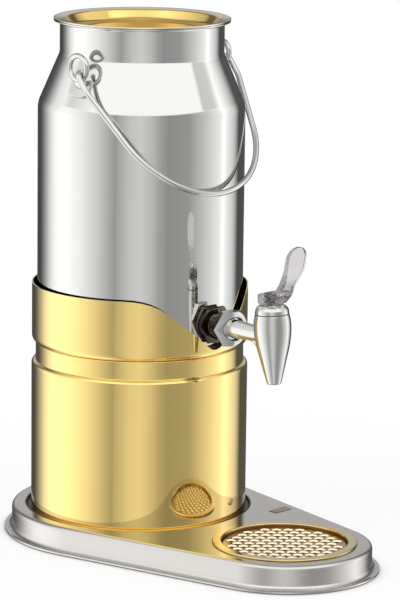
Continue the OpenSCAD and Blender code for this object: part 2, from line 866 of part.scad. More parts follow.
module can_nipple() {
    color("Silver") on_shank() difference() {
        union() {
            rod_x(nipple_head_r, nipple_head_x - nipple_head_t, nipple_head_x);
            rod_x(nipple_r, nipple_head_x - nipple_head_t, nipple_end_x);
        }
        rod_x(nipple_bore_r, 0, nipple_end_x + over);
    }
}

module outer_seal() {
    color("DimGray") difference() {
        on_shank() difference() {
            rod_x(seal_r, can_r - seal_t, seal_x);
            rod_x(nipple_r + play, 0, seal_x + over);
        }
        on_can() translate([0, 0, can_z]) cylinder(h = can_body_h, r = can_r + seat, $fn = saddle_fn);
    }
}

module can_nut() {
    color("Silver") on_shank() difference() {
        nut_x(can_nut_af, can_nut_x, can_nut_x + can_nut_h, nut_chamfer, can_nut_turn);
        rod_x(nipple_r + play, 0, union_x);
    }
}

module union_nut() {
    color("Silver") on_shank() difference() {
        nut_x(union_nut_af, union_x, union_end_x, nut_chamfer);
        rod_x(nipple_r + play, 0, union_lip_x);
        rod_x(shank_r + union_bore_gap, 0, union_end_x + over);
    }
}

module union_washer() {
    color("WhiteSmoke") on_shank() difference() {
        rod_x(shank_flange_r, washer_x, washer_x + washer_t);
        rod_x(nipple_bore_r, 0, union_end_x);
    }
}

// Half outline of the tap's body: mouth, taper, bow and crown up to the bonnet joint.
bow_fall = asin(body_bow_len / body_bow_r);
crown_rise = asin((joint_h - widest_h) / body_crown_r);
function body_outline() = concat(
    [[0, -spout_len]],
    rounded([0, -spout_len], [mouth_r, -spout_len], bow_foot, mouth_round),
    arc([tap_r - body_bow_r, widest_h], body_bow_r, -bow_fall, bow_fall),
    arc([tap_r - body_crown_r, widest_h], body_crown_r, 0, crown_rise),
    [[0, joint_h]]
);
bow_foot = [tap_r - body_bow_r, widest_h] + polar(body_bow_r, -bow_fall);
joint_r = tap_r - body_crown_r + body_crown_r * cos(crown_rise);

module shank_solid() {
    translate([shank_x, 0, 0]) rotate([0, 90, 0]) spun([
        [0, 0], [shank_flange_r, 0], [shank_flange_r, shank_flange_t], [shank_r, shank_flange_t],
        [shank_r, union_end_x - shank_x], [shank_end_r, tap_x - shank_x - tap_r], [shank_end_r, tap_x - shank_x],
        [0, tap_x - shank_x]
    ]);
    translate([tap_x, web_t / 2, 0]) rotate([90, 0, 0]) linear_extrude(web_t) polygon(concat(
        [[-tap_r / 2, -shank_end_r / 2], [-tap_r / 2, -shank_end_r - web_drop]],
        arc([-tap_r - web_reach + tap_r / 4, -shank_end_r - web_reach], web_reach, 25, 65),
        [[-tap_r - web_reach + tap_r / 4, -shank_end_r / 2]]
    ));
}

module tap_body() {
    color("Silver") difference() {
        union() {
            on_tap() spun(body_outline());
            on_shank() shank_solid();
        }
        on_tap() {
            translate([0, 0, joint_h - bonnet_plug_h - seat])
                cylinder(h = bonnet_plug_h + over, r = bonnet_plug_r + seat);
            translate([0, 0, -chamber_floor]) cylinder(h = chamber_floor + joint_h, r = chamber_r);
            translate([0, 0, -spout_len - over]) cylinder(h = spout_len, r = tap_bore_r);
        }
        on_shank() rod_x(tap_bore_r, 0, tap_x);
    }
}

module bonnet_gasket() {
    color("Black") on_tap() translate([0, 0, joint_h]) difference() {
        cylinder(h = gasket_t, r = joint_r - gasket_t / 2);
        translate([0, 0, -over]) cylinder(h = gasket_t + 2 * over, r = bonnet_plug_r + seat);
    }
}

module bonnet() {
    groove_r = stem_r + ring_gap + 2 * ring_wire_r + seat;
    color("Silver") on_tap() difference() {
        union() {
            spun(closed_path([
                [0, bonnet_z], [joint_r, bonnet_z], [joint_r - bonnet_top_in, bonnet_top, bonnet_round],
                [0, bonnet_top]
            ]));
            translate([0, 0, joint_h - bonnet_plug_h]) cylinder(h = bonnet_plug_h + bonnet_h / 2, r = bonnet_plug_r);
        }
        translate([0, 0, -over]) cylinder(h = bonnet_ceiling + over, r = bonnet_cavity_r);
        cylinder(h = bonnet_top + over, r = stem_r + play);
        translate([0, 0, bonnet_ceiling - over]) cylinder(h = ring_depth + over, r = groove_r);
    }
}

module stem_ring() {
    color("Black") on_tap() translate([0, 0, bonnet_ceiling + ring_depth - ring_wire_r - seat])
        rotate_extrude() translate([stem_r + ring_gap + ring_wire_r, 0]) circle(ring_wire_r, $fn = 24);
}

// One unbroken wire, wound from the stem's collar up to the bonnet.
spring_steps = spring_curls * spring_rings;
function spring_point(i) = concat(
    polar(spring_r, 360 * i / spring_rings),
    spring_low + (spring_high - spring_low) * i / spring_steps
);
function spring_corner(i, j) =
    let (
        around = 360 * i / spring_rings,
        out = spring_wire_r * cos(360 * j / spring_sides),
        lift = spring_wire_r * sin(360 * j / spring_sides)
    )
    spring_point(i) + concat(polar(out, around), lift);
spring_least_gap = min([
    for (i = [0 : spring_steps], k = [i + spring_rings / 2 : spring_steps])
        norm(spring_point(i) - spring_point(k)) - 2 * spring_wire_r
]);
echo(spring_least_gap = spring_least_gap);

module return_spring() {
    corners = [for (i = [0 : spring_steps], j = [0 : spring_sides - 1]) spring_corner(i, j)];
    function at(i, j) = i * spring_sides + j % spring_sides;
    walls = [for (i = [0 : spring_steps - 1], j = [0 : spring_sides - 1])
        each [[at(i, j), at(i, j + 1), at(i + 1, j)], [at(i, j + 1), at(i + 1, j + 1), at(i + 1, j)]]];
    first = [for (j = [1 : spring_sides - 2]) [at(0, 0), at(0, j + 1), at(0, j)]];
    last = [for (j = [1 : spring_sides - 2])
        [at(spring_steps, 0), at(spring_steps, j), at(spring_steps, j + 1)]];
    color("LightGray") on_tap() polyhedron(corners, concat(walls, first, last));
}

module stem() {
    color("Silver") on_tap() difference() {
        union() {
            translate([0, 0, plug_h - chamber_floor]) cylinder(h = pin_z - plug_h + chamber_floor, r = stem_r);
            translate([0, 0, stem_collar_h]) cylinder(h = stem_collar_t, r = stem_collar_r);
            translate([0, 0, pin_z]) rod_y(stem_eye_r, -stem_eye_w / 2, stem_eye_w / 2);
        }
        translate([0, 0, pin_z]) rod_y(pin_r + play, -stem_eye_w, stem_eye_w);
    }
}

module valve_plug() {
    color("DimGray") on_tap() translate([0, 0, rest - chamber_floor])
        spun([[0, 0], [plug_r - plug_taper, 0], [plug_r, plug_taper], [plug_r, plug_h - rest - seat],
            [0, plug_h - rest - seat]]);
}

// Lever: its toe is rolled so that the pin rises by lever_arm for each radian of tilt.
foot_drop = pin_h - free;
function toe(angle) =
    let (fall = foot_drop + lever_arm * angle * PI / 180)
    fall * [sin(angle), -cos(angle)] + lever_arm * [cos(angle), sin(angle)];
function paddle_x(h) = paddle_root_x + min(h, paddle_bend_h) * tan(paddle_lean)
    + max(h - paddle_bend_h, 0) * tan(paddle_tip_lean);

module lever_side() {
    toe_end = toe(lever_travel);
    rise = (paddle_x(toe_end[1]) - toe_end[0]) / (1 / tan(lever_travel) - tan(paddle_lean));
    tip_x = paddle_x(paddle_h);
    bend_x = paddle_x(paddle_bend_h);
    front = concat(toe_end + rise * [1 / tan(lever_travel), 1], toe_round);
    back = [-foot_back, foot_back_h, foot_round];
    heel = [-foot_back, -foot_drop, foot_round];
    corners = [
        toe_end, front, [bend_x, paddle_bend_h, paddle_bend_round], [tip_x, paddle_h, paddle_tip_round],
        [tip_x - paddle_tip_t, paddle_h, paddle_tip_round],
        [bend_x - paddle_bend_t, paddle_bend_h, paddle_bend_round - paddle_bend_t],
        [paddle_x(foot_top_h) - paddle_root_t, foot_top_h, paddle_root_round], back, heel, toe(0)
    ];
    polygon(concat(
        open_path(corners),
        [for (k = [1 : toe_steps - 1]) toe(lever_travel * k / toe_steps)]
    ));
}

module lever_front() {
    half = [
        [foot_half_w, -foot_drop - over], [foot_half_w, shoulder_h, toe_round], [neck_half_w, neck_h, neck_round],
        [paddle_half_w, bulge_h, bulge_round], [paddle_half_w, paddle_h, paddle_half_w - seat], [0, paddle_h]
    ];
    right = open_path(half);
    polygon(concat(right, [for (p = reversed(right)) if (p[0] > 0) [-p[0], p[1]]]));
}

module on_pin() {
    on_tap() translate([0, 0, pin_z]) children();
}

module lever() {
    slot_half_w = stem_eye_w / 2 + free;
    color("LightGray", 0.6) on_pin() difference() {
        intersection() {
            translate([0, foot_half_w + paddle_half_w, 0]) rotate([90, 0, 0])
                linear_extrude(2 * (foot_half_w + paddle_half_w)) lever_side();
            rotate([90, 0, 90]) translate([0, 0, -foot_back - over])
                linear_extrude(foot_back + over + paddle_x(paddle_h)) lever_front();
        }
        translate([-stem_eye_r - free, -slot_half_w, -foot_drop - over])
            cube([2 * stem_eye_r + 2 * free + lever_arm, 2 * slot_half_w, foot_drop + over + slot_top]);
        rod_y(pin_r + seat, -foot_half_w - over, foot_half_w + over);
    }
}

module lever_pin() {
    color("Silver") on_pin() rod_y(pin_r, -foot_half_w, foot_half_w);
}

base_tray();
base_feet();
base_screws();
base_nuts();
column_drum();
collar();
can_shelf();
shelf_screws();
shelf_nuts();
cool_pack();
pack_cap();
drip_tray();
drip_grille();
can_bottom();
can_body();
can_top();
left_ear();
right_ear();
inner_seal();
can_nipple();
outer_seal();
can_nut();
union_nut();
union_washer();
tap_body();
bonnet_gasket();
bonnet();
stem_ring();
return_spring();
stem();
valve_plug();
lever();
lever_pin();
lid();
bail();
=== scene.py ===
"""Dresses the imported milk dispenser: can, gilt column and collar, satin base, lever tap and drip tray."""

import math

import bpy
from bpy.props import FloatProperty, FloatVectorProperty, IntProperty, PointerProperty
from mathutils import Matrix, Vector


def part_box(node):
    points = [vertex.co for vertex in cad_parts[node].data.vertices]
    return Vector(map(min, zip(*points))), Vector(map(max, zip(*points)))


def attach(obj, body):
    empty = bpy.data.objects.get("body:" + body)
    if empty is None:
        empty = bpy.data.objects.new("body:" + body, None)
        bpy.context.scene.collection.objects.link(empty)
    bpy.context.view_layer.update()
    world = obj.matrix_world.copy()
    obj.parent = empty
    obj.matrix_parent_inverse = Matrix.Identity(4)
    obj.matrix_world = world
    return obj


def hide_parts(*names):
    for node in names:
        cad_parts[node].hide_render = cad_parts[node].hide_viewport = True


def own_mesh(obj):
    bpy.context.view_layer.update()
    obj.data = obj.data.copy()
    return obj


bl_info = {
    "name": "Milk dispenser",
    "version": (1, 0, 0),
    "blender": (4, 5, 0),
    "location": "3D View > Sidebar > Dispenser",
    "description": "Models and finishes the pieces of a buffet milk dispenser around its packed frame",
    "category": "Object",
}

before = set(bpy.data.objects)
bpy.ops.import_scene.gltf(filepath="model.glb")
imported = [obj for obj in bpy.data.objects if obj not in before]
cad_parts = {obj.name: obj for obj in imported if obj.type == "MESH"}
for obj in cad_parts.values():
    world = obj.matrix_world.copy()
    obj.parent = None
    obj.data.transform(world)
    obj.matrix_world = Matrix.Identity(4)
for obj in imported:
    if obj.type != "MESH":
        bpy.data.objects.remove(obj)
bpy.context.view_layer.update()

MM = 0.001
AHEAD, ACROSS, UP = Vector((1, 0, 0)), Vector((0, 1, 0)), Vector((0, 0, 1))
SPECK = 0.001
EASE = 0.35 * MM
ARC_STEP = math.radians(9)
PLAY = 0.05 * MM
DONE = {"FINISHED"}


def middle(node):
    """The middle of a CAD node's box."""
    low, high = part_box(node)
    return (low + high) / 2


CAN_X = middle("can_body").x
TRAY_X = middle("drip_tray").x
CAN_FOOT, TRAY_FOOT = Vector((CAN_X, 0, 0)), Vector((TRAY_X, 0, 0))


# Sizes and colours


def length(name, description, size):
    """A length, given in millimetres."""
    return FloatProperty(name=name, description=description, default=size * MM, unit="LENGTH", precision=5)


def turn(name, description, degrees):
    """An angle, given in degrees."""
    return FloatProperty(name=name, description=description, default=math.radians(degrees), unit="ROTATION")


def count(name, description, number):
    """A number of like things."""
    return IntProperty(name=name, description=description, default=number, min=1)


def tint(name, description, colour):
    """A colour of a finish."""
    return FloatVectorProperty(
        name=name, description=description, default=colour, subtype="COLOR", size=3, min=0, max=1
    )


class CanSizes(bpy.types.PropertyGroup):
    """Sizes of the can and its lid."""

    radius: length("Radius", "Outside radius of the can", 82.5)
    bottom: length("Bottom", "Height of the can's bottom above the table", 159.55)
    shoulder: length("Shoulder", "Height at which the can's shoulder starts", 348.25)
    neck: length("Neck", "Height at which the can's neck starts", 388.45)
    neck_radius: length("Neck radius", "Outside radius of the neck", 65.2)
    lip: length("Lip", "Height of the out-turned lip", 413.65)
    lip_radius: length("Lip radius", "Outside radius of the lip", 70.0)
    wall: length("Wall", "Sheet of the can", 1.0)
    shoulder_round: length("Shoulder rounding", "Rounding between wall and shoulder", 20.0)
    neck_round: length("Neck rounding", "Rounding between shoulder and neck", 8.0)
    lip_round: length("Lip rounding", "Rounding under the lip", 2.2)
    foot_round: length("Foot rounding", "Rounding of the bottom edge", 7.0)
    dish: length("Dish", "Rise of the bottom's middle", 2.5)
    brim: length("Brim", "Height of the lid's bead", 416.35)
    bead: length("Bead", "Radius of the bead round the lid", 0.8)
    lid_depth: length("Lid depth", "Depth of the lid's dish", 8.4)
    lid_floor: length("Lid floor", "Radius of the lid's floor", 56.0)
    lid_wall: length("Lid wall", "Radius of the lid's wall", 62.3)
    lid_sheet: length("Lid sheet", "Sheet of the lid", 0.9)


class ColumnSizes(bpy.types.PropertyGroup):
    """Sizes of the gilt column and collar."""

    radius: length("Radius", "Outside radius of the drum", 87.0)
    foot: length("Foot", "Height of the drum's foot above the table", 18.55)
    step: length("Step", "Height of the step in to the neck", 140.65)
    neck_radius: length("Neck radius", "Outside radius of the neck", 83.6)
    neck_top: length("Neck top", "Height of the neck's top", 155.65)
    sheet: length("Sheet", "Sheet of column and collar", 0.9)
    turn_in: length("Turned-in edge", "Width of the edges turned inwards", 12.0)
    foot_round: length("Foot rounding", "Rounding of the drum's foot", 3.0)
    step_round: length("Step rounding", "Rounding of the drum's shoulder", 3.4)
    neck_round: length("Neck rounding", "Rounding of the neck", 0.8)
    collar_radius: length("Collar radius", "Outside radius of the collar", 86.7)
    collar_foot: length("Collar foot", "Height of the collar's foot", 155.7)
    collar_top: length("Collar top", "Height of the collar's top edge", 204.0)
    collar_round: length("Collar rounding", "Rounding of the collar's foot", 5.0)
    notch: length("Notch", "Height of the notch's lowest point above the collar's foot", 2.3)
    notch_slope: turn("Notch slope", "Slope of the notch's sides", 40.0)
    notch_round: length("Notch rounding", "Rounding at the bottom of the notch", 11.0)
    notch_blend: length("Notch blend", "Rounding where the notch meets the top edge", 40.0)


class BaseSizes(bpy.types.PropertyGroup):
    """Sizes of the base, drip tray and grille."""

    radius: length("Radius", "Radius of the base's wall round the column", 102.5)
    nose: length("Nose", "Radius of the base's wall round the drip tray", 68.5)
    top: length("Top", "Height of the base's top", 21.0)
    sheet: length("Sheet", "Sheet of the base", 1.2)
    flange: length("Flange", "Width of the out-turned flange", 6.0)
    stand: length("Stand", "Height of the flange above the table", 1.0)
    edge_round: length("Edge rounding", "Rounding of the top edge", 3.5)
    flange_round: length("Flange fillet", "Fillet between wall and flange", 4.0)
    recess: length("Recess", "Radius of the recess round the column", 90.4)
    recess_depth: length("Recess depth", "Depth of the recess", 2.5)
    recess_round: length("Recess rounding", "Rounding of the recess's edge", 1.2)
    tray: length("Tray radius", "Outside radius of the drip tray's rim", 56.7)
    tray_rim: length("Tray rim", "Width of the drip tray's rim", 7.4)
    tray_lift: length("Tray lift", "Height of the tray's rim above the base", 1.6)
    tray_depth: length("Tray depth", "Depth of the tray below the base's top", 14.0)
    tray_seat: length("Tray seat", "Width of the ledge that carries the grille", 3.4)
    tray_sheet: length("Tray sheet", "Sheet of the drip tray", 0.9)
    tray_bend: length("Tray bends", "Rounding of the tray's bends", 1.1)
    tray_floor_round: length("Tray floor rounding", "Rounding of the tray's floor", 5.0)
    grille_drop: length("Grille drop", "Depth of the grille below the tray's rim", 3.2)
    grille: length("Grille thickness", "Thickness of the grille", 1.2)
    grille_pitch: length("Grille pitch", "Distance between neighbouring holes", 9.2)
    grille_web: length("Grille web", "Width of the web between holes", 1.9)
    grille_border: length("Grille border", "Plain border of the grille", 3.2)
    grille_turn: turn("Grille turn", "Turn of the honeycomb about its middle", 16.0)
    badge_long: length("Badge length", "Long side of the bare badge plate", 18.0)
    badge_wide: length("Badge width", "Short side of the bare badge plate", 8.0)


class BailSizes(bpy.types.PropertyGroup):
    """Sizes of the ears and the bail."""

    ear_out: length("Ear distance", "Distance of an ear's ring from the middle of the can", 78.19)
    ear_forward: length("Ear forward", "Distance of the ears in front of the can's axis", 10.0)
    ear_level: length("Ear level", "Height of the middle of an ear's ring", 383.45)
    ring: length("Ring", "Radius of an ear's ring along its wire", 9.4)
    ring_wire: length("Ring wire", "Radius of the ring's wire", 2.2)
    foot_wide: length("Foot width", "Width of an ear's foot", 19.0)
    foot_high: length("Foot height", "Height of an ear's foot", 13.0)
    foot_level: length("Foot level", "Height of the middle of an ear's foot", 366.55)
    foot_back: length("Foot set-back", "How far the foot lies behind its ring", 2.0)
    foot_thick: length("Foot thickness", "Thickness of an ear's foot", 2.2)
    foot_round: length("Foot rounding", "Rounding of the foot's lower corners", 5.0)
    hinge_forward: length("Hinge forward", "Distance of the bail's hinge in front of the can's axis", 13.5)
    hinge_level: length("Hinge level", "Height of the bail's hinge", 380.465)
    wire: length("Bail wire", "Radius of the bail's wire", 2.3)
    half: length("Half width", "Distance of the bail's straight ends from its middle", 83.19)
    stub: length("Stub", "Distance of the bail's tips from its middle", 73.99)
    elbow: length("Elbow", "Rounding of the bail's elbows", 5.0)
    straight: length("Straight", "Length of the bail's straight ends", 18.5)
    knee: length("Knee", "Rounding of the bail's knees", 14.0)
    bow: length("Bow", "Radius of the bail's bow", 72.7)
    reach: length("Reach", "Distance from the hinge to the middle of the bow", 120.3)
    hang: turn("Hang", "Angle at which the bail hangs, from straight down", 38.9)


class TapSizes(bpy.types.PropertyGroup):
    """Sizes of the tap, its shank and its nuts."""

    level: length("Level", "Height of the shank's axis", 181.55)
    reach: length("Reach", "Distance of the tap from the can's axis", 148.3)
    lean: turn("Lean", "Lean of the tap towards the can", 3.5)
    radius: length("Radius", "Widest radius of the tap's body", 14.7)
    widest: length("Widest", "Height of the widest point above the shank's axis", 9.0)
    bow: length("Bow", "Radius of the body's bow below its widest point", 77.0)
    bow_run: length("Bow run", "Height of the bow", 18.7)
    crown: length("Crown", "Radius of the body's crown above its widest point", 34.0)
    joint: length("Joint", "Height of the bonnet joint", 18.0)
    spout: length("Spout", "Length of the spout below the shank's axis", 36.8)
    mouth: length("Mouth", "Outside radius of the mouth", 5.5)
    mouth_round: length("Mouth rounding", "Rounding of the mouth's edge", 1.3)
    bore: length("Bore", "Radius of the bore", 4.0)
    chamber: length("Chamber", "Radius of the valve chamber", 8.6)
    chamber_floor: length("Chamber floor", "Depth of the valve chamber below the shank's axis", 9.0)
    plug: length("Plug", "Radius of the bonnet's plug", 11.0)
    plug_depth: length("Plug depth", "Depth of the bonnet's plug below the joint", 7.0)
    gasket: length("Gasket", "Thickness of the bonnet's gasket", 0.5)
    bonnet: length("Bonnet", "Height of the bonnet", 7.4)
    bonnet_in: length("Bonnet slope", "How much the bonnet narrows", 0.9)
    bonnet_round: length("Bonnet rounding", "Rounding of the bonnet's top", 6.0)
    cavity: length("Cavity", "Radius of the bonnet's cavity", 8.0)
    roof: length("Roof", "Thickness of the bonnet's roof", 5.0)
    stem: length("Stem", "Radius of the valve stem", 2.5)
    shank: length("Shank", "Radius of the shank at the union nut", 7.4)
    shank_end: length("Shank end", "Radius of the shank at the tap", 6.0)
    flange: length("Flange", "Radius of the shank's flange inside the union nut", 9.2)
    flange_at: length("Flange place", "Distance of the flange from the can's axis", 104.55)
    web: length("Web", "Thickness of the gusset under the shank", 6.0)
    web_round: length("Web rounding", "Radius of the gusset's hollow edge", 14.0)
    can_nut: length("Can nut", "Width across flats of the nut on the can", 28.0)
    can_nut_at: length("Can nut place", "Distance of the nut from the can's axis", 83.55)
    can_nut_high: length("Can nut height", "Height of the nut on the can", 5.0)
    can_nut_turn: turn("Can nut turn", "Turn of the nut on the can", 14.0)
    union_nut: length("Union nut", "Width across flats of the union nut", 27.0)
    union_at: length("Union nut place", "Distance of the union nut from the can's axis", 97.95)
    union_end: length("Union nut end", "Distance of the union nut's end from the can's axis", 108.5)
    chamfer: length("Chamfer", "Chamfer of the nuts", 1.4)
    nipple: length("Nipple", "Outside radius of the threaded nipple", 9.5)
    nipple_bore: length("Nipple bore", "Bore of the nipple", 4.5)
    thread: length("Thread", "Pitch of the nipple's thread", 1.6)
    thread_depth: length("Thread depth", "Depth of the nipple's thread", 0.7)
    spring: length("Spring", "Radius of the return spring along its wire", 5.2)
    spring_wire: length("Spring wire", "Radius of the spring's wire", 0.6)
    spring_low: length("Spring foot", "Height of the spring's foot above the shank's axis", 4.15)
    spring_high: length("Spring head", "Height of the spring's head above the shank's axis", 20.3)
    curls: count("Curls", "Number of the spring's curls", 6)


class LeverSizes(bpy.types.PropertyGroup):
    """Sizes of the lever, from its pin."""

    pin: length("Pin height", "Height of the pin above the shank's axis", 30.55)
    pin_radius: length("Pin radius", "Radius of the pin", 1.5)
    drop: length("Foot drop", "Height of the pin above the lever's foot", 4.3)
    arm: length("Arm", "Rise of the pin for each radian of tilt, by the toe's cam", 5.6)
    travel: turn("Travel", "Angle over which the toe lifts the pin", 45.0)
    foot_half: length("Foot half width", "Half the width of the foot", 8.0)
    neck_half: length("Neck half width", "Half the width of the neck", 6.3)
    paddle_half: length("Paddle half width", "Half the width of the paddle", 10.0)
    paddle_top: length("Paddle top", "Height of the paddle's end above the pin", 42.4)
    slot_half: length("Slot half width", "Half the width of the slot for the stem's eye", 2.8)


class Colours(bpy.types.PropertyGroup):
    """Colours of the finishes."""

    steel: tint("Steel", "Polished stainless steel of the can", (0.66, 0.66, 0.645))
    satin: tint("Satin steel", "Satin steel of the base", (0.63, 0.61, 0.585))
    gilt: tint("Gilt", "Mirror gilt of column, collar, lid and tray", (0.93, 0.68, 0.18))
    acrylic: tint("Acrylic", "Clear plastic of the lever", (0.80, 0.78, 0.78))
    rubber: tint("Rubber", "Feet and seals", (0.03, 0.03, 0.03))


# Outlines


def corner_legs(corners):
    """How much of each side a corner's rounding takes."""
    legs = [0.0]
    for before, here, after in zip(corners, corners[1:], corners[2:]):
        rounding = here[2] if len(here) > 2 else 0
        p = Vector(here[:2])
        half = (Vector(before[:2]) - p).angle(Vector(after[:2]) - p) / 2
        legs.append(rounding / math.tan(half) if rounding > 0 else 0.0)
    return [*legs, 0.0]


def eased(corners):
    """An open outline from corners (x, z) or (x, z, rounding). Beside each rounding lies a support point."""
    legs = corner_legs(corners)
    points = []
    for i, corner in enumerate(corners):
        p = Vector(corner[:2])
        if legs[i] == 0:
            points.append(p)
            continue
        a, b = Vector(corners[i - 1][:2]), Vector(corners[i + 1][:2])
        u, v = (a - p).normalized(), (b - p).normalized()
        half = u.angle(v) / 2
        centre = p + (u + v).normalized() * corner[2] / math.sin(half)
        first, last = p + u * legs[i] - centre, p + v * legs[i] - centre
        sweep = math.copysign(math.pi - 2 * half, first.cross(last))
        steps = max(2, math.ceil(abs(sweep) / ARC_STEP))
        if (a - p).length - legs[i] - legs[i - 1] > 3 * EASE:
            points.append(p + u * (legs[i] + EASE))
        for k in range(steps + 1):
            points.append(centre + Matrix.Rotation(sweep * k / steps, 2) @ first)
        if (b - p).length - legs[i] - legs[i + 1] > 3 * EASE:
            points.append(p + v * (legs[i] + EASE))
    return points


def beside(corners, distance):
    """The same corners moved to the left of their run."""
    moved = []
    last = len(corners) - 1
    for i, corner in enumerate(corners):
        a, b = corners[max(i - 1, 0)], corners[max(i, 1)]
        c, d = corners[min(i, last - 1)], corners[min(i + 1, last)]
        before = (Vector(b[:2]) - Vector(a[:2])).normalized().orthogonal()
        after = (Vector(d[:2]) - Vector(c[:2])).normalized().orthogonal()
        p = Vector(corner[:2]) + distance * (before + after) / (1 + before.dot(after))
        rounding = corner[2] if len(corner) > 2 else 0
        if rounding > 0:
            rounding = rounding - distance if before.cross(after) > 0 else rounding + distance
        moved.append((p.x, p.y, max(rounding, 0)))
    return moved


def sheet_outline(corners, sheet):
    """The closed outline of a sheet along an open outline."""
    return eased(corners) + eased(beside(corners, sheet))[::-1]


def spots(*pairs):
    """Outline points from pairs of numbers."""
    return [Vector(pair) for pair in pairs]


def arc(centre, radius, first, last, steps):
    """Points of an arc between two angles."""
    return [
        Vector(centre) + radius * Vector((math.cos(a), math.sin(a)))
        for a in (first + (last - first) * k / steps for k in range(steps + 1))
    ]


# Modelling by operators


def object_mode():
    """Leaves edit mode."""
    if bpy.context.mode != "OBJECT":
        bpy.ops.object.mode_set(mode="OBJECT")


def alone(piece, *others):
    """Selects a piece, and others if they are named, and makes it the active one."""
    object_mode()
    bpy.ops.object.select_all(action="DESELECT")
    for each in (*others, piece):
        each.select_set(True)
    bpy.context.view_layer.objects.active = piece


def added(primitive, **settings):
    """Adds a primitive with nothing else selected, and opens it for editing."""
    object_mode()
    bpy.ops.object.select_all(action="DESELECT")
    primitive(**settings)
    bpy.ops.object.mode_set(mode="EDIT")
    bpy.ops.mesh.select_mode(type="VERT")
    bpy.ops.mesh.select_all(action="SELECT")
    return bpy.context.object


def placed(primitive, **settings):
    """Adds a primitive and applies its place, turn and scale."""
    piece = added(primitive, **settings)
    object_mode()
    bpy.ops.object.transform_apply()
    return piece


def line(points):
    """One vertex of a small plane, drawn out from point to point."""
    piece = added(bpy.ops.mesh.primitive_plane_add, size=SPECK, location=points[0])
    bpy.ops.mesh.merge(type="CENTER")
    for a, b in zip(points, points[1:]):
        bpy.ops.mesh.extrude_region_move(TRANSFORM_OT_translate={"value": b - a})
    return piece


def weld(threshold=1e-6):
    """Merges doubles and turns the faces outwards."""
    bpy.ops.mesh.select_all(action="SELECT")
    bpy.ops.mesh.remove_doubles(threshold=threshold)
    bpy.ops.mesh.normals_make_consistent(inside=False)


def turned(outline, centre, axis=UP, side=AHEAD, steps=192, closed=True):
    """A piece turned on a lathe: outline points (out, along) spun round an axis through centre."""
    points = [centre + side * p.x + axis * p.y for p in outline]
    piece = line(points + points[:1] if closed else points)
    bpy.ops.mesh.select_all(action="SELECT")
    bpy.ops.mesh.spin(steps=steps, angle=2 * math.pi, center=centre, axis=axis)
    weld()
    return piece


def slab(points, run):
    """A flat outline, filled and drawn out along a direction."""
    piece = line(points + points[:1])
    bpy.ops.mesh.select_all(action="SELECT")
    bpy.ops.mesh.remove_doubles(threshold=1e-7)
    bpy.ops.mesh.edge_face_add()
    bpy.ops.mesh.extrude_region_move(TRANSFORM_OT_translate={"value": run})
    weld(1e-7)
    object_mode()
    return piece


def wire(points, radius, sides=5):
    """A round wire along points."""
    piece = line(points)
    object_mode()
    bpy.ops.object.convert(target="CURVE")
    piece = bpy.context.object
    piece.data.bevel_depth = radius
    piece.data.bevel_resolution = sides
    piece.data.use_fill_caps = True
    bpy.ops.object.convert(target="MESH")
    return bpy.context.object


def applied(piece, kind, **settings):
    """Adds a modifier and applies it."""
    object_mode()
    bpy.context.view_layer.objects.active = piece
    modifier = piece.modifiers.new(kind.title(), kind)
    for key, value in settings.items():
        setattr(modifier, key, value)
    bpy.ops.object.modifier_apply(modifier=modifier.name)
    return piece


def bevelled(piece, width, segments, degrees):
    """Softens the edges that are sharper than an angle."""
    limit = math.radians(degrees)
    return applied(piece, "BEVEL", width=width, segments=segments, limit_method="ANGLE", angle_limit=limit)


def twin(piece):
    """A copy with a mesh of its own."""
    copy = piece.copy()
    copy.data = piece.data.copy()
    bpy.context.scene.collection.objects.link(copy)
    return copy


def cut(piece, cutter, operation="DIFFERENCE"):
    """Cuts a piece with another, which is then gone."""
    applied(piece, "BOOLEAN", object=cutter, operation=operation, solver="EXACT")
    bpy.data.objects.remove(cutter)
    return piece


def joined(piece, *others):
    """Makes one object of several."""
    alone(piece, *others)
    bpy.ops.object.join()
    return piece


def settled(piece, name, body, finish, stands_for=(), angle=32):
    """Names a finished piece, shades it, and sets it on its body in its finish."""
    alone(piece)
    bpy.ops.object.transform_apply()
    bpy.ops.object.shade_smooth_by_angle(angle=math.radians(angle))
    piece.name = piece.data.name = name
    piece.data.materials.clear()
    piece.data.materials.append(finish)
    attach(piece, body)
    if stands_for:
        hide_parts(*stands_for)
    return piece


# Finishes


def plug(material, made, **inputs):
    """Sets or links a node's inputs, each by its name or by i and its number."""
    for key, value in inputs.items():
        numbered = key[0] == "i" and key[1:].isdigit()
        socket = made.inputs[int(key[1:]) if numbered else key.replace("_", " ")]
        if isinstance(value, bpy.types.NodeSocket):
            material.node_tree.links.new(value, socket)
        else:
            socket.default_value = value
    return made


def node(material, kind, **inputs):
    """Adds a shader node with its inputs."""
    return plug(material, material.node_tree.nodes.new("ShaderNode" + kind), **inputs)


def worked(material, kind, operation, **inputs):
    """The value of an operation in a Math or VectorMath node."""
    made = node(material, kind, **inputs)
    made.operation = operation
    return made.outputs["Value"]


def principled(name, colour, metallic=0.0, roughness=0.5, **more):
    """A material with its plain numbers set on the shader itself, and no shader if it was made before."""
    material = bpy.data.materials.get("look_" + name)
    if material:
        return material, None
    material = bpy.data.materials.new("look_" + name)
    material.use_nodes = True
    shader = material.node_tree.nodes["Principled BSDF"]
    plug(material, shader, Base_Color=(*colour, 1), Metallic=metallic, Roughness=roughness, **more)
    return material, shader


def stretched(material, scale, turned_by=(0, 0, 0), moved=(0, 0, 0)):
    """Object coordinates, stretched by a scale along each axis."""
    place = node(material, "TexCoord").outputs["Object"]
    made = node(material, "Mapping", Vector=place, Scale=scale, Rotation=turned_by, Location=moved)
    return made.outputs["Vector"]


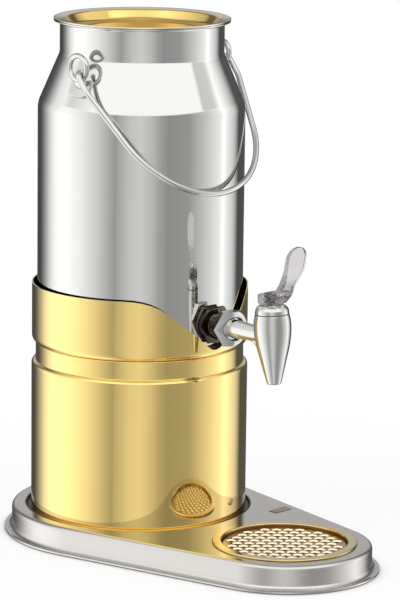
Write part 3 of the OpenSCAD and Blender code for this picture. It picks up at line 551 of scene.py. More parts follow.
def noise(material, scale, detail=3.0):
    """A noise whose grain may run along one axis; one number is a scale all ways."""
    scale = scale if isinstance(scale, tuple) else (scale,) * 3
    made = node(material, "TexNoise", Vector=stretched(material, scale), Scale=1.0, Detail=detail)
    return made.outputs["Fac"]


def ranged(material, value, low, high, first=0.0, last=1.0, kind="LINEAR"):
    """Maps a value from one range to another."""
    made = node(material, "MapRange", Value=value, From_Min=low, From_Max=high, To_Min=first, To_Max=last)
    made.interpolation_type = kind
    return made.outputs["Result"]


def between(material, value, low, high):
    """Maps a noise to a range."""
    return ranged(material, value, 0.3, 0.7, low, high)


def stepped(material, value, low, high, first=0.0, last=1.0):
    """A smooth step."""
    return ranged(material, value, low, high, first, last, "SMOOTHSTEP")


def blend(material, value, first, second):
    """Mixes two colours by a value."""
    mix = node(material, "Mix")
    mix.data_type = "RGBA"
    ends = [c if isinstance(c, bpy.types.NodeSocket) else (*c, 1) for c in (first, second)]
    return plug(material, mix, i0=value, i6=ends[0], i7=ends[1]).outputs[2]


def merged(material, value, first, second):
    """Mixes two numbers by a value."""
    return node(material, "Mix", i0=value, i2=first, i3=second).outputs[0]


def bumped(material, shader, height, strength, distance=0.001):
    """Feeds a height into the shader's normal."""
    bump = node(material, "Bump", Height=height, Strength=strength, Distance=distance)
    plug(material, shader, Normal=bump.outputs["Normal"])


def part(material, place, axis):
    """One part of a point's place (Object) or facing (Normal)."""
    return node(material, "SeparateXYZ", Vector=node(material, "TexCoord").outputs[place]).outputs[axis]


def away(material, moved, scale):
    """Distance from an axis: the origin is moved to it, and the scale is 0 along it."""
    return worked(material, "VectorMath", "LENGTH", i0=stretched(material, scale, moved=moved))


def shade(colour, share):
    """A colour made darker or lighter."""
    return tuple(min(1.0, c * share) for c in colour)


def clouds(material, scale, colour, low, high):
    """A colour with cloudy patches between two shades of it."""
    return blend(material, noise(material, scale, 2.0), shade(colour, low), shade(colour, high))


def dressed(material, shader, colour, grain, low, high, wave, height, detail=1.0):
    """Feeds a metal's colour, the grain of its roughness and the waves of its surface."""
    rough = between(material, noise(material, grain), low, high)
    plug(material, shader, Base_Color=colour, Roughness=rough)
    bumped(material, shader, noise(material, wave, detail), height)


def colours():
    """The colours that a user may change."""
    return bpy.context.scene.dispenser_colours


def polished_steel():
    """Mirror-polished sheet: faint polishing marks round the can and cloudy patches."""
    steel = colours().steel
    material, shader = principled("polished_steel", steel, 1.0, 0.05)
    if shader:
        tone = clouds(material, (14, 14, 9), steel, 0.97, 1.03)
        dressed(material, shader, tone, (30, 30, 500), 0.035, 0.07, (16, 16, 5), 0.035)
    return material


def mirror_gilt():
    """Mirror gilt sheet with faint upright marks."""
    gilt = colours().gilt
    coat = {"Coat_Weight": 1.0, "Coat_Roughness": 0.04, "Coat_IOR": 1.9}
    material, shader = principled("mirror_gilt", gilt, 1.0, 0.07, **coat)
    if shader:
        tone = clouds(material, (12, 12, 7), gilt, 0.96, 1.03)
        dressed(material, shader, tone, (220, 220, 12), 0.05, 0.1, (14, 14, 5), 0.03)
    return material


def brim_gilt(wall):
    """Gilt dish of the lid, with a brim of paler metal."""
    gilt, brim = (0.95, 0.68, 0.22), (0.86, 0.73, 0.55)
    material, shader = principled("brim_gilt", gilt, 1.0, 0.07)
    if shader:
        out = away(material, (-CAN_X, 0, 0), (1, 1, 0))
        tone = blend(material, stepped(material, out, wall - 0.6 * MM, wall + 0.6 * MM), gilt, brim)
        dressed(material, shader, tone, (60, 60, 300), 0.05, 0.11, 14, 0.03)
    return material


def pale_gilt():
    """Pale gilt of the punched grille, darker on its flat top than in its holes: painted shade on the flat
    top, painted highlight in the holes.
    """
    # flat is painted shade on the upward faces; the pale gilt of the hole walls is a painted highlight
    gilt, flat = (0.88, 0.76, 0.56), (0.50, 0.34, 0.12)
    material, shader = principled("pale_gilt", gilt, 1.0, 0.12)
    if shader:
        tone = blend(material, stepped(material, part(material, "Normal", "Z"), 0.86, 0.97), gilt, flat)
        dressed(material, shader, tone, 300, 0.09, 0.17, 40, 0.03)
    return material


def well_gilt(rim):
    """Gilt of the drip tray: polished and pale on its rim, dull down in its well, where painted shade
    darkens it.
    """
    # well is painted shade down in the tray's well
    gilt, well = (0.80, 0.65, 0.36), (0.30, 0.17, 0.06)
    material, shader = principled("well_gilt", gilt, 1.0, 0.08)
    if shader:
        # polished marks the rim: it sets the real polish, and below it the painted shade of the well.
        polished = stepped(material, part(material, "Object", "Z"), rim - 1.6 * MM, rim - 0.3 * MM)
        stain = noise(material, 30)
        rough = merged(material, polished, ranged(material, stain, 0, 1, 0.25, 0.4), 0.07)
        plug(material, shader, Base_Color=blend(material, polished, well, gilt), Roughness=rough)
        bumped(material, shader, stain, 0.03)
    return material


def satin_steel():
    """Satin sheet with a fine grain along the base, smoother on its top than on its sides."""
    satin = colours().satin
    material, shader = principled("satin_steel", satin, 1.0, 0.14)
    if shader:
        grain = noise(material, (6, 6, 900))
        flat = stepped(material, part(material, "Normal", "Z"), 0.55, 0.95)
        sides, top = between(material, grain, 0.21, 0.30), between(material, grain, 0.09, 0.14)
        tone = clouds(material, 10, satin, 0.97, 1.03)
        plug(material, shader, Base_Color=tone, Roughness=merged(material, flat, sides, top))
        bumped(material, shader, grain, 0.01, 0.0001)
    return material


def painted_shade_and_reflection_steel():
    """Dull metal of the recess round the column: painted shade darkens it, with a painted reflection of the
    gilt in gold on its front.
    """
    # dark is painted shade in the recess; front is the painted reflection of the gilt column
    dark, front = (0.035, 0.03, 0.025), (0.95, 0.74, 0.34)
    material, shader = principled("painted_shade_and_reflection_steel", dark, 0.5, 0.4)
    if shader:
        turned_to_front = stretched(material, (1, 1, 1), (0, 0, math.pi / 4))
        ahead = node(material, "SeparateXYZ", Vector=turned_to_front).outputs["X"]
        # The gradient paints the gilt's reflection on the recess's front, fading into painted shade behind.
        tone = blend(material, stepped(material, ahead, -30 * MM, 25 * MM), dark, front)
        rough = between(material, noise(material, 400), 0.32, 0.45)
        plug(material, shader, Base_Color=tone, Roughness=rough)
    return material


def fitting_steel():
    """Polished cast and drawn fittings, a little wavy."""
    steel = shade(colours().steel, 0.98)
    material, shader = principled("fitting_steel", steel, 1.0, 0.1, Specular_Tint=(0.75, 0.75, 0.74, 1))
    if shader:
        dressed(material, shader, clouds(material, 50, steel, 0.94, 1.05), 160, 0.07, 0.14, 90, 0.06, 2.0)
    return material


def bored_steel(level, bore):
    """Polished nut with painted shade, a dark ring, round its bore about its level axis."""
    # dark is painted shade in the bore
    steel, dark = shade(colours().steel, 1.0), (0.03, 0.028, 0.025)
    material, shader = principled("bored_steel", steel, 1.0, 0.14, Specular_Tint=(0.55, 0.55, 0.54, 1))
    if shader:
        out = away(material, (0, 0, -level), (0, 1, 1))
        # The bore and its edge take the painted shade.
        tone = blend(material, stepped(material, out, bore + 0.6 * MM, bore + 0.9 * MM), dark, steel)
        dressed(material, shader, tone, 160, 0.12, 0.2, 70, 0.08, 2.0)
    return material


def plain_finish(name, colour, roughness, grain, metallic=0.0):
    """Moulded or plain surfaces: a fine grain with slight changes of tone."""
    material, shader = principled(name, colour, metallic, roughness)
    if shader:
        fine = noise(material, grain)
        tone = blend(material, fine, shade(colour, 0.9), shade(colour, 1.08))
        rough = between(material, noise(material, 40), roughness * 0.85, roughness * 1.15)
        plug(material, shader, Base_Color=tone, Roughness=rough)
        bumped(material, shader, fine, 0.12, 0.0003)
    return material


def dark_steel():
    """Turned nut in darker steel."""
    finish = plain_finish("dark_steel", (0.13, 0.11, 0.09), 0.14, 300, 1.0)
    plug(finish, finish.node_tree.nodes["Principled BSDF"], Specular_Tint=(0.2, 0.18, 0.16, 1))
    return finish


def black_rubber():
    """Matt black rubber."""
    return plain_finish("black_rubber", colours().rubber, 0.6, 700)


def clear_acrylic(pin):
    """Clear moulded plastic with painted shade greying its sides, and darker and mottled towards its foot.
    """
    clear, side, foot_mottle = colours().acrylic, (0.45, 0.44, 0.43), (0.36, 0.33, 0.345)
    material, shader = principled("clear_acrylic", clear, 0.0, 0.04, Transmission_Weight=1.0, IOR=1.3)
    if shader:
        height = part(material, "Object", "Z")
        low = stepped(material, height, pin.z + 12 * MM, pin.z + 20 * MM, 1.0, 0.0)
        spots = between(material, noise(material, 420, 5.0), 0.0, 1.0)
        amount = worked(material, "Math", "MULTIPLY", i0=low, i1=spots)
        # side is painted shade on the faces turned across the lever
        edge = worked(material, "Math", "ABSOLUTE", i0=part(material, "Normal", "Y"))
        body = blend(material, stepped(material, edge, 0.45, 0.75), clear, side)
        rough = ranged(material, amount, 0, 1, 0.03, 0.25)
        plug(material, shader, Base_Color=blend(material, amount, body, foot_mottle), Roughness=rough)
        bumped(material, shader, noise(material, 60, 2.0), 0.1)
    return material


# Pieces


class DISPENSER_OT_can(bpy.types.Operator):
    """Spins the can with its bottom, shoulder, neck and lip"""

    bl_idname = "dispenser.can"
    bl_label = "Can"

    foot_ring = 12 * MM
    dish_run = 6 * MM

    def execute(self, context):
        s = context.scene.dispenser_can
        flat = s.radius - s.foot_round - self.foot_ring
        outline = sheet_outline(
            [
                (0, s.bottom + s.dish),
                (flat, s.bottom + s.dish, s.foot_round),
                (flat + self.dish_run, s.bottom, s.foot_round),
                (s.radius, s.bottom, s.foot_round),
                (s.radius, s.shoulder, s.shoulder_round),
                (s.neck_radius, s.neck, s.neck_round),
                (s.neck_radius, s.lip, s.lip_round),
                (s.lip_radius, s.lip),
            ],
            s.wall,
        )
        piece = turned(outline, CAN_FOOT)
        nodes = ["can_bottom", "can_body", "can_top"]
        settled(piece, "can_shell", "can", polished_steel(), nodes)
        return DONE


class DISPENSER_OT_lid(bpy.types.Operator):
    """Spins the dished lid with its beaded brim"""

    bl_idname = "dispenser.lid"
    bl_label = "Lid"

    floor_round = 6 * MM
    wall_round = 3 * MM
    bead_in = 0.7

    def execute(self, context):
        s = context.scene.dispenser_can
        level = s.brim - s.bead
        bead_at = s.lip_radius - self.bead_in * s.bead
        corners = [
            (0, level - s.lid_depth),
            (s.lid_floor, level - s.lid_depth, self.floor_round),
            (s.lid_wall, level, self.wall_round),
            (bead_at, level + s.lid_sheet / 2),
        ]
        bead = [
            Vector((bead_at + s.bead * math.cos(a), level + s.bead * math.sin(a)))
            for a in (math.radians(d) for d in range(140, -141, -20))
        ]
        outline = eased(corners)[:-1] + bead + eased(beside(corners, -s.lid_sheet))[::-1][1:]
        piece = turned(outline, CAN_FOOT)
        settled(piece, "lid_dish", "lid", brim_gilt(s.lid_wall), ["lid"])
        return DONE


class DISPENSER_OT_column(bpy.types.Operator):
    """Spins the column's drum with its stepped neck"""

    bl_idname = "dispenser.column"
    bl_label = "Column"

    def execute(self, context):
        s = context.scene.dispenser_column
        outline = sheet_outline(
            [
                (s.radius - s.turn_in, s.foot),
                (s.radius, s.foot, s.foot_round),
                (s.radius, s.step, s.step_round),
                (s.neck_radius, s.step, s.neck_round),
                (s.neck_radius, s.neck_top, s.neck_round),
                (s.neck_radius - s.turn_in, s.neck_top),
            ],
            s.sheet,
        )
        piece = turned(outline, CAN_FOOT)
        settled(piece, "column_shell", "base", mirror_gilt(), ["column_drum"])
        return DONE


class DISPENSER_OT_collar(bpy.types.Operator):
    """Spins the collar and draws its top edge down into the notch for the tap"""

    bl_idname = "dispenser.collar"
    bl_label = "Collar"

    rows = 40

    def edge(self, s):
        """Points (across, height) of the top edge, seen from the front."""
        low = s.collar_foot + s.notch
        corner = (s.collar_top - low) / math.tan(s.notch_slope)
        out = corner + s.notch_blend * math.tan(s.notch_slope / 2) + EASE
        return eased([
            (-out, s.collar_top),
            (-corner, s.collar_top, s.notch_blend),
            (0, low, s.notch_round),
            (corner, s.collar_top, s.notch_blend),
            (out, s.collar_top),
        ])

    def execute(self, context):
        s = context.scene.dispenser_column
        edge = self.edge(s)
        profile = eased([
            (s.neck_radius - s.turn_in, s.collar_foot),
            (s.collar_radius, s.collar_foot, s.collar_round),
            (s.collar_radius, s.collar_top),
        ])
        run = [0.0]
        for a, b in zip(profile, profile[1:]):
            run.append(run[-1] + (b - a).length)

        def spot(share_of_run):
            """The profile's point at a distance along it."""
            for i in range(len(profile) - 1):
                if share_of_run <= run[i + 1]:
                    return profile[i].lerp(profile[i + 1], (share_of_run - run[i]) / (run[i + 1] - run[i]))
            return profile[-1]

        def reach(across):
            """The distance along the profile at which the top edge lies."""
            height = s.collar_top
            for a, b in zip(edge, edge[1:]):
                if a.x <= across <= b.x:
                    height = a.y + (b.y - a.y) * (across - a.x) / (b.x - a.x)
                    break
            for i in range(len(profile) - 1):
                if profile[i + 1].y >= height and profile[i + 1].y > profile[i].y:
                    share = (height - profile[i].y) / (profile[i + 1].y - profile[i].y)
                    return run[i] + share * (run[i + 1] - run[i])
            return run[-1]

        upright = [Vector((s.collar_radius, s.collar_foot + k * MM)) for k in range(self.rows + 1)]
        piece = turned(upright, CAN_FOOT, steps=288, closed=False)
        object_mode()
        for corner in piece.data.vertices:
            place = piece.matrix_world @ corner.co
            out = Vector((place.x - CAN_X, place.y)).normalized()
            share = (place.z - s.collar_foot) / (self.rows * MM)
            full = reach(out.y * s.collar_radius) if out.x > 0 else run[-1]
            there = spot(full * share)
            corner.co = piece.matrix_world.inverted() @ Vector(
                (CAN_X + out.x * there.x, out.y * there.x, there.y)
            )
        bpy.ops.object.mode_set(mode="EDIT")
        weld()
        applied(piece, "SOLIDIFY", thickness=s.sheet, offset=-1, use_even_offset=True)
        settled(piece, "collar_shell", "base", mirror_gilt(), ["collar"])
        return DONE


class DISPENSER_OT_base(bpy.types.Operator):
    """Draws the teardrop base up from its flange, cuts its openings and sets the column's recess in it"""

    bl_idname = "dispenser.base"
    bl_label = "Base"

    tray_play = 1.5 * MM

    def execute(self, context):
        s = context.scene.dispenser_base
        reach = TRAY_X - CAN_X
        tangent = math.acos((s.radius - s.nose) / reach)
        profile = eased([
            (s.flange, s.stand + s.sheet),
            (0, s.stand + s.sheet, s.flange_round),
            (0, s.top, s.edge_round),
            (-s.edge_round - 2 * EASE, s.top),
        ])
        big, small = s.radius + s.flange, s.nose + s.flange
        piece = added(
            bpy.ops.mesh.primitive_circle_add,
            vertices=360,
            radius=big,
            fill_type="NGON",
            location=(CAN_X, 0, profile[0].y),
        )
        object_mode()
        for corner in piece.data.vertices:
            corner.select = abs(math.atan2(corner.co.y, corner.co.x)) < tangent
        for part in (*piece.data.edges, *piece.data.polygons):
            part.select = False
        bpy.ops.object.mode_set(mode="EDIT")
        bpy.ops.mesh.select_mode(type="VERT")
        bpy.ops.transform.resize(value=(small / big,) * 3, center_override=(CAN_X, 0, profile[0].y))
        bpy.ops.transform.translate(value=(reach, 0, 0))
        bpy.ops.mesh.select_mode(type="FACE")
        bpy.ops.mesh.select_all(action="SELECT")
        for a, b in zip(profile, profile[1:]):
            bpy.ops.mesh.inset(thickness=max(a.x - b.x, 0), depth=b.y - a.y)
        weld()
        openings = ((CAN_X, s.recess + s.recess_round), (TRAY_X, s.tray - s.tray_rim + self.tray_play))
        for x, radius in openings:
            hole = added(
                bpy.ops.mesh.primitive_cylinder_add,
                vertices=192,
                radius=radius,
                depth=s.top,
                location=(x, 0, s.top),
            )
            cut(piece, hole)
        applied(piece, "SOLIDIFY", thickness=s.sheet, offset=1, use_even_offset=True)
        floor = s.top - s.recess_depth
        cup = turned(
            sheet_outline(
                [
                    (0, floor),
                    (s.recess, floor, s.recess_round),
                    (s.recess, s.top, s.recess_round),
                    (s.recess + s.recess_round + EASE, s.top),
                ],
                -s.sheet,
            ),
            CAN_FOOT,
        )
        settled(cup, "recess_cup", "base", painted_shade_and_reflection_steel())
        settled(piece, "base_shell", "base", satin_steel(), ["base_tray"])
        return DONE


class DISPENSER_OT_tray(bpy.types.Operator):
    """Spins the drip tray with its broad rim and ledge"""

    bl_idname = "dispenser.tray"
    bl_label = "Drip tray"

    rim_gap = 0.1 * MM

    def execute(self, context):
        s = context.scene.dispenser_base
        well = s.tray - s.tray_rim
        rim = s.top + s.tray_lift
        ledge = rim - s.grille_drop - s.grille
        outline = sheet_outline(
            [
                (0, s.top - s.tray_depth),
                (well - s.tray_seat, s.top - s.tray_depth, s.tray_floor_round),
                (well - s.tray_seat, ledge, s.tray_bend),
                (well, ledge, s.tray_bend),
                (well, rim, s.tray_bend),
                (s.tray, rim, s.tray_bend),
                (s.tray, s.top + self.rim_gap),
            ],
            -s.tray_sheet,
        )
        piece = turned(outline, TRAY_FOOT)
        settled(piece, "drip_pan", "tray", well_gilt(rim), ["drip_tray"])
        return DONE


class DISPENSER_OT_grille(bpy.types.Operator):
    """Cuts the honeycomb of holes in the grille"""

    bl_idname = "dispenser.grille"
    bl_label = "Grille"

    taper = math.radians(34)
    edge_round = 0.3 * MM
    burr = 0.16 * MM

    def execute(self, context):
        s = context.scene.dispenser_base
        low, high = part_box("drip_grille")
        radius = (high.x - low.x) / 2
        hole = (s.grille_pitch - s.grille_web) / math.sqrt(3)
        step = s.grille_pitch * math.sqrt(3) / 2
        edge = eased([
            (0, low.z),
            (radius, low.z, self.edge_round),
            (radius, high.z, self.edge_round),
            (0, high.z),
        ])
        piece = turned(edge, TRAY_FOOT, steps=128)
        rows = int((radius - s.grille_border) / step)
        columns = int((radius - s.grille_border) / s.grille_pitch) + 1
        flare = s.grille * math.tan(self.taper)
        first = placed(
            bpy.ops.mesh.primitive_cone_add,
            vertices=6,
            radius1=hole - 2 * flare,
            radius2=hole + flare,
            depth=3 * s.grille,
            location=(TRAY_X, 0, (low.z + high.z) / 2),
            rotation=(0, 0, math.pi / 6 + s.grille_turn),
        )
        turned_by = Matrix.Rotation(s.grille_turn, 3, "Z")
        holes = []
        for row in range(-rows, rows + 1):
            for column in range(-columns, columns + 1):
                spot = turned_by @ Vector((row * step, (column + (row % 2) / 2) * s.grille_pitch, 0))
                if spot.length + hole / 2 < radius - s.grille_border:
                    holes.append(twin(first))
                    holes[-1].location = spot
        bpy.data.objects.remove(first)
        cut(piece, joined(*holes))
        bevelled(piece, self.burr, 2, 50)
        settled(piece, "grille_plate", "grille", pale_gilt(), ["drip_grille"])
        return DONE


class DISPENSER_OT_badge(bpy.types.Operator):
    """Sets the bare badge plate on the base"""

    bl_idname = "dispenser.badge"
    bl_label = "Badge plate"

    forward = 97.0 * MM
    aside = 66.0 * MM
    thick = 0.6 * MM
    edge_round = 0.25 * MM
    tone = (0.36, 0.25, 0.22)

    def execute(self, context):
        s = context.scene.dispenser_base
        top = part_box("base_tray")[1].z
        piece = placed(
            bpy.ops.mesh.primitive_cube_add,
            size=1,
            scale=(s.badge_wide, s.badge_long, self.thick),
            location=(CAN_X + self.forward, self.aside, top + self.thick / 2),
        )
        applied(piece, "BEVEL", width=self.edge_round, segments=3)
        finish = plain_finish("badge", self.tone, 0.25, 500, 0.6)
        settled(piece, "badge_plate", "base", finish)
        return DONE


class DISPENSER_OT_ears(bpy.types.Operator):
    """Models one ear, a ring on a foot that follows the can's shoulder, and mirrors it"""

    bl_idname = "dispenser.ears"
    bl_label = "Ears"

    foot_edge = 0.7 * MM
    neck_edge = 1.3 * MM
    neck_half = 4 * MM
    neck_side = ((72.6, 370.4), (76.6, 366.2), (79.4, 370.6), (79.8, 376.0), (76.6, 376.0), (72.8, 373.0))

    def foot(self, s, can):
        """The foot: a plate laid on the cone of the shoulder, with rounded lower corners."""
        middle_x = s.ear_forward - s.foot_back
        piece = placed(bpy.ops.mesh.primitive_grid_add, x_subdivisions=24, y_subdivisions=20, size=2)
        slope = (can.radius - can.neck_radius) / (can.neck - can.shoulder)
        for corner in piece.data.vertices:
            across, up = corner.co.x, corner.co.y
            above_foot = (up + 1) * s.foot_high / 2
            half = s.foot_wide / 2
            if above_foot < s.foot_round:
                gone = s.foot_round - above_foot
                half -= s.foot_round - math.sqrt(s.foot_round**2 - gone**2)
            z = s.foot_level + up * s.foot_high / 2
            x = middle_x + across * half
            radius = can.radius - (z - can.shoulder) * slope + PLAY
            corner.co = (CAN_X + x, math.sqrt(radius**2 - x**2), z)
        bpy.ops.object.mode_set(mode="EDIT")
        weld(1e-5)
        object_mode()
        if piece.data.polygons[0].normal.y < 0:
            bpy.ops.object.mode_set(mode="EDIT")
            bpy.ops.mesh.flip_normals()
            object_mode()
        applied(piece, "SOLIDIFY", thickness=s.foot_thick, offset=1)
        return bevelled(piece, self.foot_edge, 3, 50)

    def neck(self, s):
        """The short neck between ring and foot."""
        x = CAN_X + s.ear_forward - self.neck_half
        points = [Vector((x, y * MM, z * MM)) for y, z in self.neck_side]
        return applied(slab(points, AHEAD * 2 * self.neck_half), "BEVEL", width=self.neck_edge, segments=4)

    def execute(self, context):
        s = context.scene.dispenser_bail
        ring = placed(
            bpy.ops.mesh.primitive_torus_add,
            major_radius=s.ring,
            minor_radius=s.ring_wire,
            major_segments=72,
            minor_segments=24,
            location=(CAN_X + s.ear_forward, s.ear_out, s.ear_level),
            rotation=(math.pi / 2, 0, 0),
        )
        right = joined(ring, self.foot(s, context.scene.dispenser_can), self.neck(s))
        left = twin(right)
        settled(right, "ear_right", "can", fitting_steel(), ["right_ear"])
        alone(left)
        bpy.ops.object.mode_set(mode="EDIT")
        bpy.ops.mesh.select_all(action="SELECT")
        bpy.ops.transform.mirror(constraint_axis=(False, True, False), center_override=(0, 0, 0))
        bpy.ops.mesh.normals_make_consistent(inside=False)
        settled(left, "ear_left", "can", fitting_steel(), ["left_ear"])
        return DONE


class DISPENSER_OT_bail(bpy.types.Operator):
    """Bends the bail's wire from ear to ear"""

    bl_idname = "dispenser.bail"
    bl_label = "Bail"

    def execute(self, context):
        s = context.scene.dispenser_bail
        centre = Vector((s.reach - s.bow, 0))
        knee = Vector((s.straight, s.half))
        off = knee - centre
        swing = math.atan2(off.y, off.x) - math.acos(s.bow / off.length)
        end = centre + s.bow * Vector((math.cos(swing), math.sin(swing)))
        half = eased([(0, s.stub), (0, s.half, s.elbow), (s.straight, s.half, s.knee), tuple(end)])[:-1]
        path = half + arc(centre, s.bow, swing, -swing, 64) + [Vector((p.x, -p.y)) for p in reversed(half)]
        hinge = Vector((CAN_X + s.hinge_forward, 0, s.hinge_level))
        down = Vector((math.sin(s.hang), 0, -math.cos(s.hang)))
        piece = wire([hinge + down * p.x + ACROSS * p.y for p in path], s.wire, 8)
        settled(piece, "bail_wire", "bail", fitting_steel(), ["bail"], 60)
        return DONE


def tap_lines(s):
    """Middle, axis and forward direction of the leaning tap."""
    axis = Vector((-math.sin(s.lean), 0, math.cos(s.lean)))
    side = Vector((math.cos(s.lean), 0, math.sin(s.lean)))
    return Vector((CAN_X + s.reach, 0, s.level)), axis, side


class DISPENSER_OT_nuts(bpy.types.Operator):
    """Models the nut on the can, the threaded nipple and the union nut"""

    bl_idname = "dispenser.nuts"
    bl_label = "Nuts and nipple"

    head = 13 * MM
    head_thick = 3 * MM
    can_nut_play = 0.3 * MM
    can_nut_soft = 0.45 * MM
    union_play = 1.4 * MM
    union_soft = 1.1 * MM
    ridge = ((0, 0), (0, 0.25), (1, 0.55), (1, 0.7))

    def nut(self, s, flats, start, end, bore, turn_by, front, soft):
        """A six-sided nut, chamfered at both ends and bored."""
        centre = CAN_FOOT + UP * s.level
        corner = flats / math.sqrt(3)
        piece = added(
            bpy.ops.mesh.primitive_cylinder_add,
            vertices=6,
            radius=corner,
            depth=end - start,
            location=centre + AHEAD * (start + end) / 2,
            rotation=(turn_by, math.pi / 2, 0),
        )
        ring = turned(
            eased([
                (bore, start),
                (flats / 2 - 0.3 * MM, start, 0.4 * MM),
                (corner + MM, start + s.chamfer),
                (corner + MM, end - front),
                (flats / 2 - 0.6 * MM, end, front - 0.2 * MM),
                (bore, end),
            ]),
            centre,
            AHEAD,
            UP,
            96,
        )
        return bevelled(cut(piece, ring, "INTERSECT"), soft, 4, 25)

    def execute(self, context):
        s = context.scene.dispenser_tap
        can_nut_end = s.can_nut_at + s.can_nut_high
        bore = s.nipple + self.can_nut_play
        inner = self.nut(
            s, s.can_nut, s.can_nut_at, can_nut_end, bore, s.can_nut_turn, s.chamfer, self.can_nut_soft
        )
        settled(inner, "can_backnut", "can", dark_steel(), ["can_nut"], 25)
        bore = s.shank + self.union_play
        outer = self.nut(
            s, s.union_nut, s.union_at, s.union_end, bore, math.pi / 6, 3 * s.chamfer, self.union_soft
        )
        settled(outer, "union_collar", "can", bored_steel(s.level, bore), ["union_nut"], 25)
        first, last = (corner.x - CAN_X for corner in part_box("can_nipple"))
        neck = first + self.head_thick
        outline = spots((s.nipple_bore, first), (self.head, first), (self.head, neck), (s.nipple, neck))
        place = can_nut_end - s.thread
        while place < s.union_at + s.thread:
            outline += spots(*(
                (s.nipple - deep * s.thread_depth, place + along * s.thread) for deep, along in self.ridge
            ))
            place += s.thread
        outline += spots((s.nipple, place), (s.nipple, last), (s.nipple_bore, last))
        nipple = turned(outline, CAN_FOOT + UP * s.level, AHEAD, UP, 96)
        settled(nipple, "nipple_thread", "can", dark_steel(), ["can_nipple"], 25)
        return DONE


class DISPENSER_OT_tap(bpy.types.Operator):
    """Turns the tap's body with its spout, shank and gusset"""

    bl_idname = "dispenser.tap"
    bl_label = "Tap body"

    flange_thick = 1.9 * MM
    shank_lap = 1.5 * MM
    web_drop = 9 * MM
    web_edge = 1.8 * MM

    def execute(self, context):
        s = context.scene.dispenser_tap
        centre, axis, side = tap_lines(s)
        fall = math.asin(s.bow_run / s.bow)
        rise = math.asin((s.joint - s.widest) / s.crown)
        foot = (s.radius - s.bow + s.bow * math.cos(fall), s.widest - s.bow_run)
        outline = eased([(s.bore, -s.spout), (s.mouth, -s.spout, s.mouth_round), foot])[:-1]
        outline += arc((s.radius - s.bow, s.widest), s.bow, -fall, 0, 16)
        outline += arc((s.radius - s.crown, s.widest), s.crown, 0, rise, 10)[1:]
        outline += spots(
            (s.plug + PLAY, s.joint),
            (s.plug + PLAY, s.joint - s.plug_depth),
            (s.chamber, s.joint - s.plug_depth),
            (s.chamber, -s.chamber_floor),
            (s.bore, -s.chamber_floor),
        )
        piece = turned(outline, centre, axis, side, 128)
        end = s.reach - s.chamber - self.shank_lap
        flange_end = s.flange_at + self.flange_thick
        outline = spots(
            (s.bore, s.flange_at), (s.flange, s.flange_at), (s.flange, flange_end), (s.shank, flange_end)
        )
        outline += eased([
            (s.shank, s.union_end),
            (s.shank, s.union_end + 2 * MM, 3 * MM),
            (s.shank_end, s.reach - s.radius, 6 * MM),
            (s.shank_end, end),
        ])
        outline += spots((s.bore, end))
        shank = turned(outline, CAN_FOOT + UP * s.level, AHEAD, UP, 96)
        hollow = (-s.radius * 0.75 - s.web_round, -s.shank_end - s.web_round)
        root = -s.radius * 0.66
        edge = spots((root, -s.shank_end / 2), (root, -s.shank_end - self.web_drop))
        edge += arc(hollow, s.web_round, math.radians(25), math.radians(90), 14)
        edge += spots((hollow[0], -s.shank_end / 2))
        points = [Vector((CAN_X + s.reach + p.x, -s.web / 2, s.level + p.y)) for p in edge]
        web = bevelled(slab(points, ACROSS * s.web), self.web_edge, 4, 60)
        cut(piece, shank, "UNION")
        cut(piece, web, "UNION")
        settled(piece, "tap_shell", "can", fitting_steel(), ["tap_body"], 40)
        return DONE


class DISPENSER_OT_bonnet(bpy.types.Operator):
    """Turns the bonnet and the dark joint line under it"""

    bl_idname = "dispenser.bonnet"
    bl_label = "Bonnet and gasket"

    rim_round = 0.3 * MM
    stem_play = 0.3 * MM
    gasket_in = 0.3 * MM
    gasket_round = 0.1 * MM

    def execute(self, context):
        s = context.scene.dispenser_tap
        centre, axis, side = tap_lines(s)
        rise = math.asin((s.joint - s.widest) / s.crown)
        rim = s.radius - s.crown + s.crown * math.cos(rise)
        low = s.joint + s.gasket + PLAY
        top = low + s.bonnet
        foot = s.joint - s.plug_depth
        bore = s.stem + self.stem_play
        outline = eased([
            (s.plug, low),
            (rim, low, self.rim_round),
            (rim - s.bonnet_in, top, s.bonnet_round),
            (bore, top),
        ])
        outline += spots((bore, top - s.roof), (s.cavity, top - s.roof), (s.cavity, foot), (s.plug, foot))
        piece = turned(outline, centre, axis, side, 128)
        settled(piece, "bonnet_cap", "can", fitting_steel(), ["bonnet"], 40)
        edge = rim - self.gasket_in
        line_of_joint = eased([
            (s.plug + PLAY, s.joint),
            (edge, s.joint, self.gasket_round),
            (edge, s.joint + s.gasket, self.gasket_round),
            (s.plug + PLAY, s.joint + s.gasket),
        ])
        gasket = turned(line_of_joint, centre, axis, side, 96)
        settled(gasket, "gasket_line", "can", black_rubber(), ["bonnet_gasket"])
        return DONE


class DISPENSER_OT_spring(bpy.types.Operator):
    """Winds the return spring as one fixed coil; in use it shortens as the stem lifts"""

    bl_idname = "dispenser.spring"
    bl_label = "Return spring"

    def execute(self, context):
        s = context.scene.dispenser_tap
        centre, axis, side = tap_lines(s)
        across = axis.cross(side)
        steps = s.curls * 24
        points = []
        for k in range(steps + 1):
            angle = 2 * math.pi * s.curls * k / steps
            along = s.spring_low + (s.spring_high - s.spring_low) * k / steps
            out = side * math.cos(angle) + across * math.sin(angle)
            points.append(centre + axis * along + s.spring * out)
        piece = wire(points, s.spring_wire, 3)
        settled(piece, "spring_wire", "can", fitting_steel(), ["return_spring"], 60)
        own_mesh(piece)
        return DONE


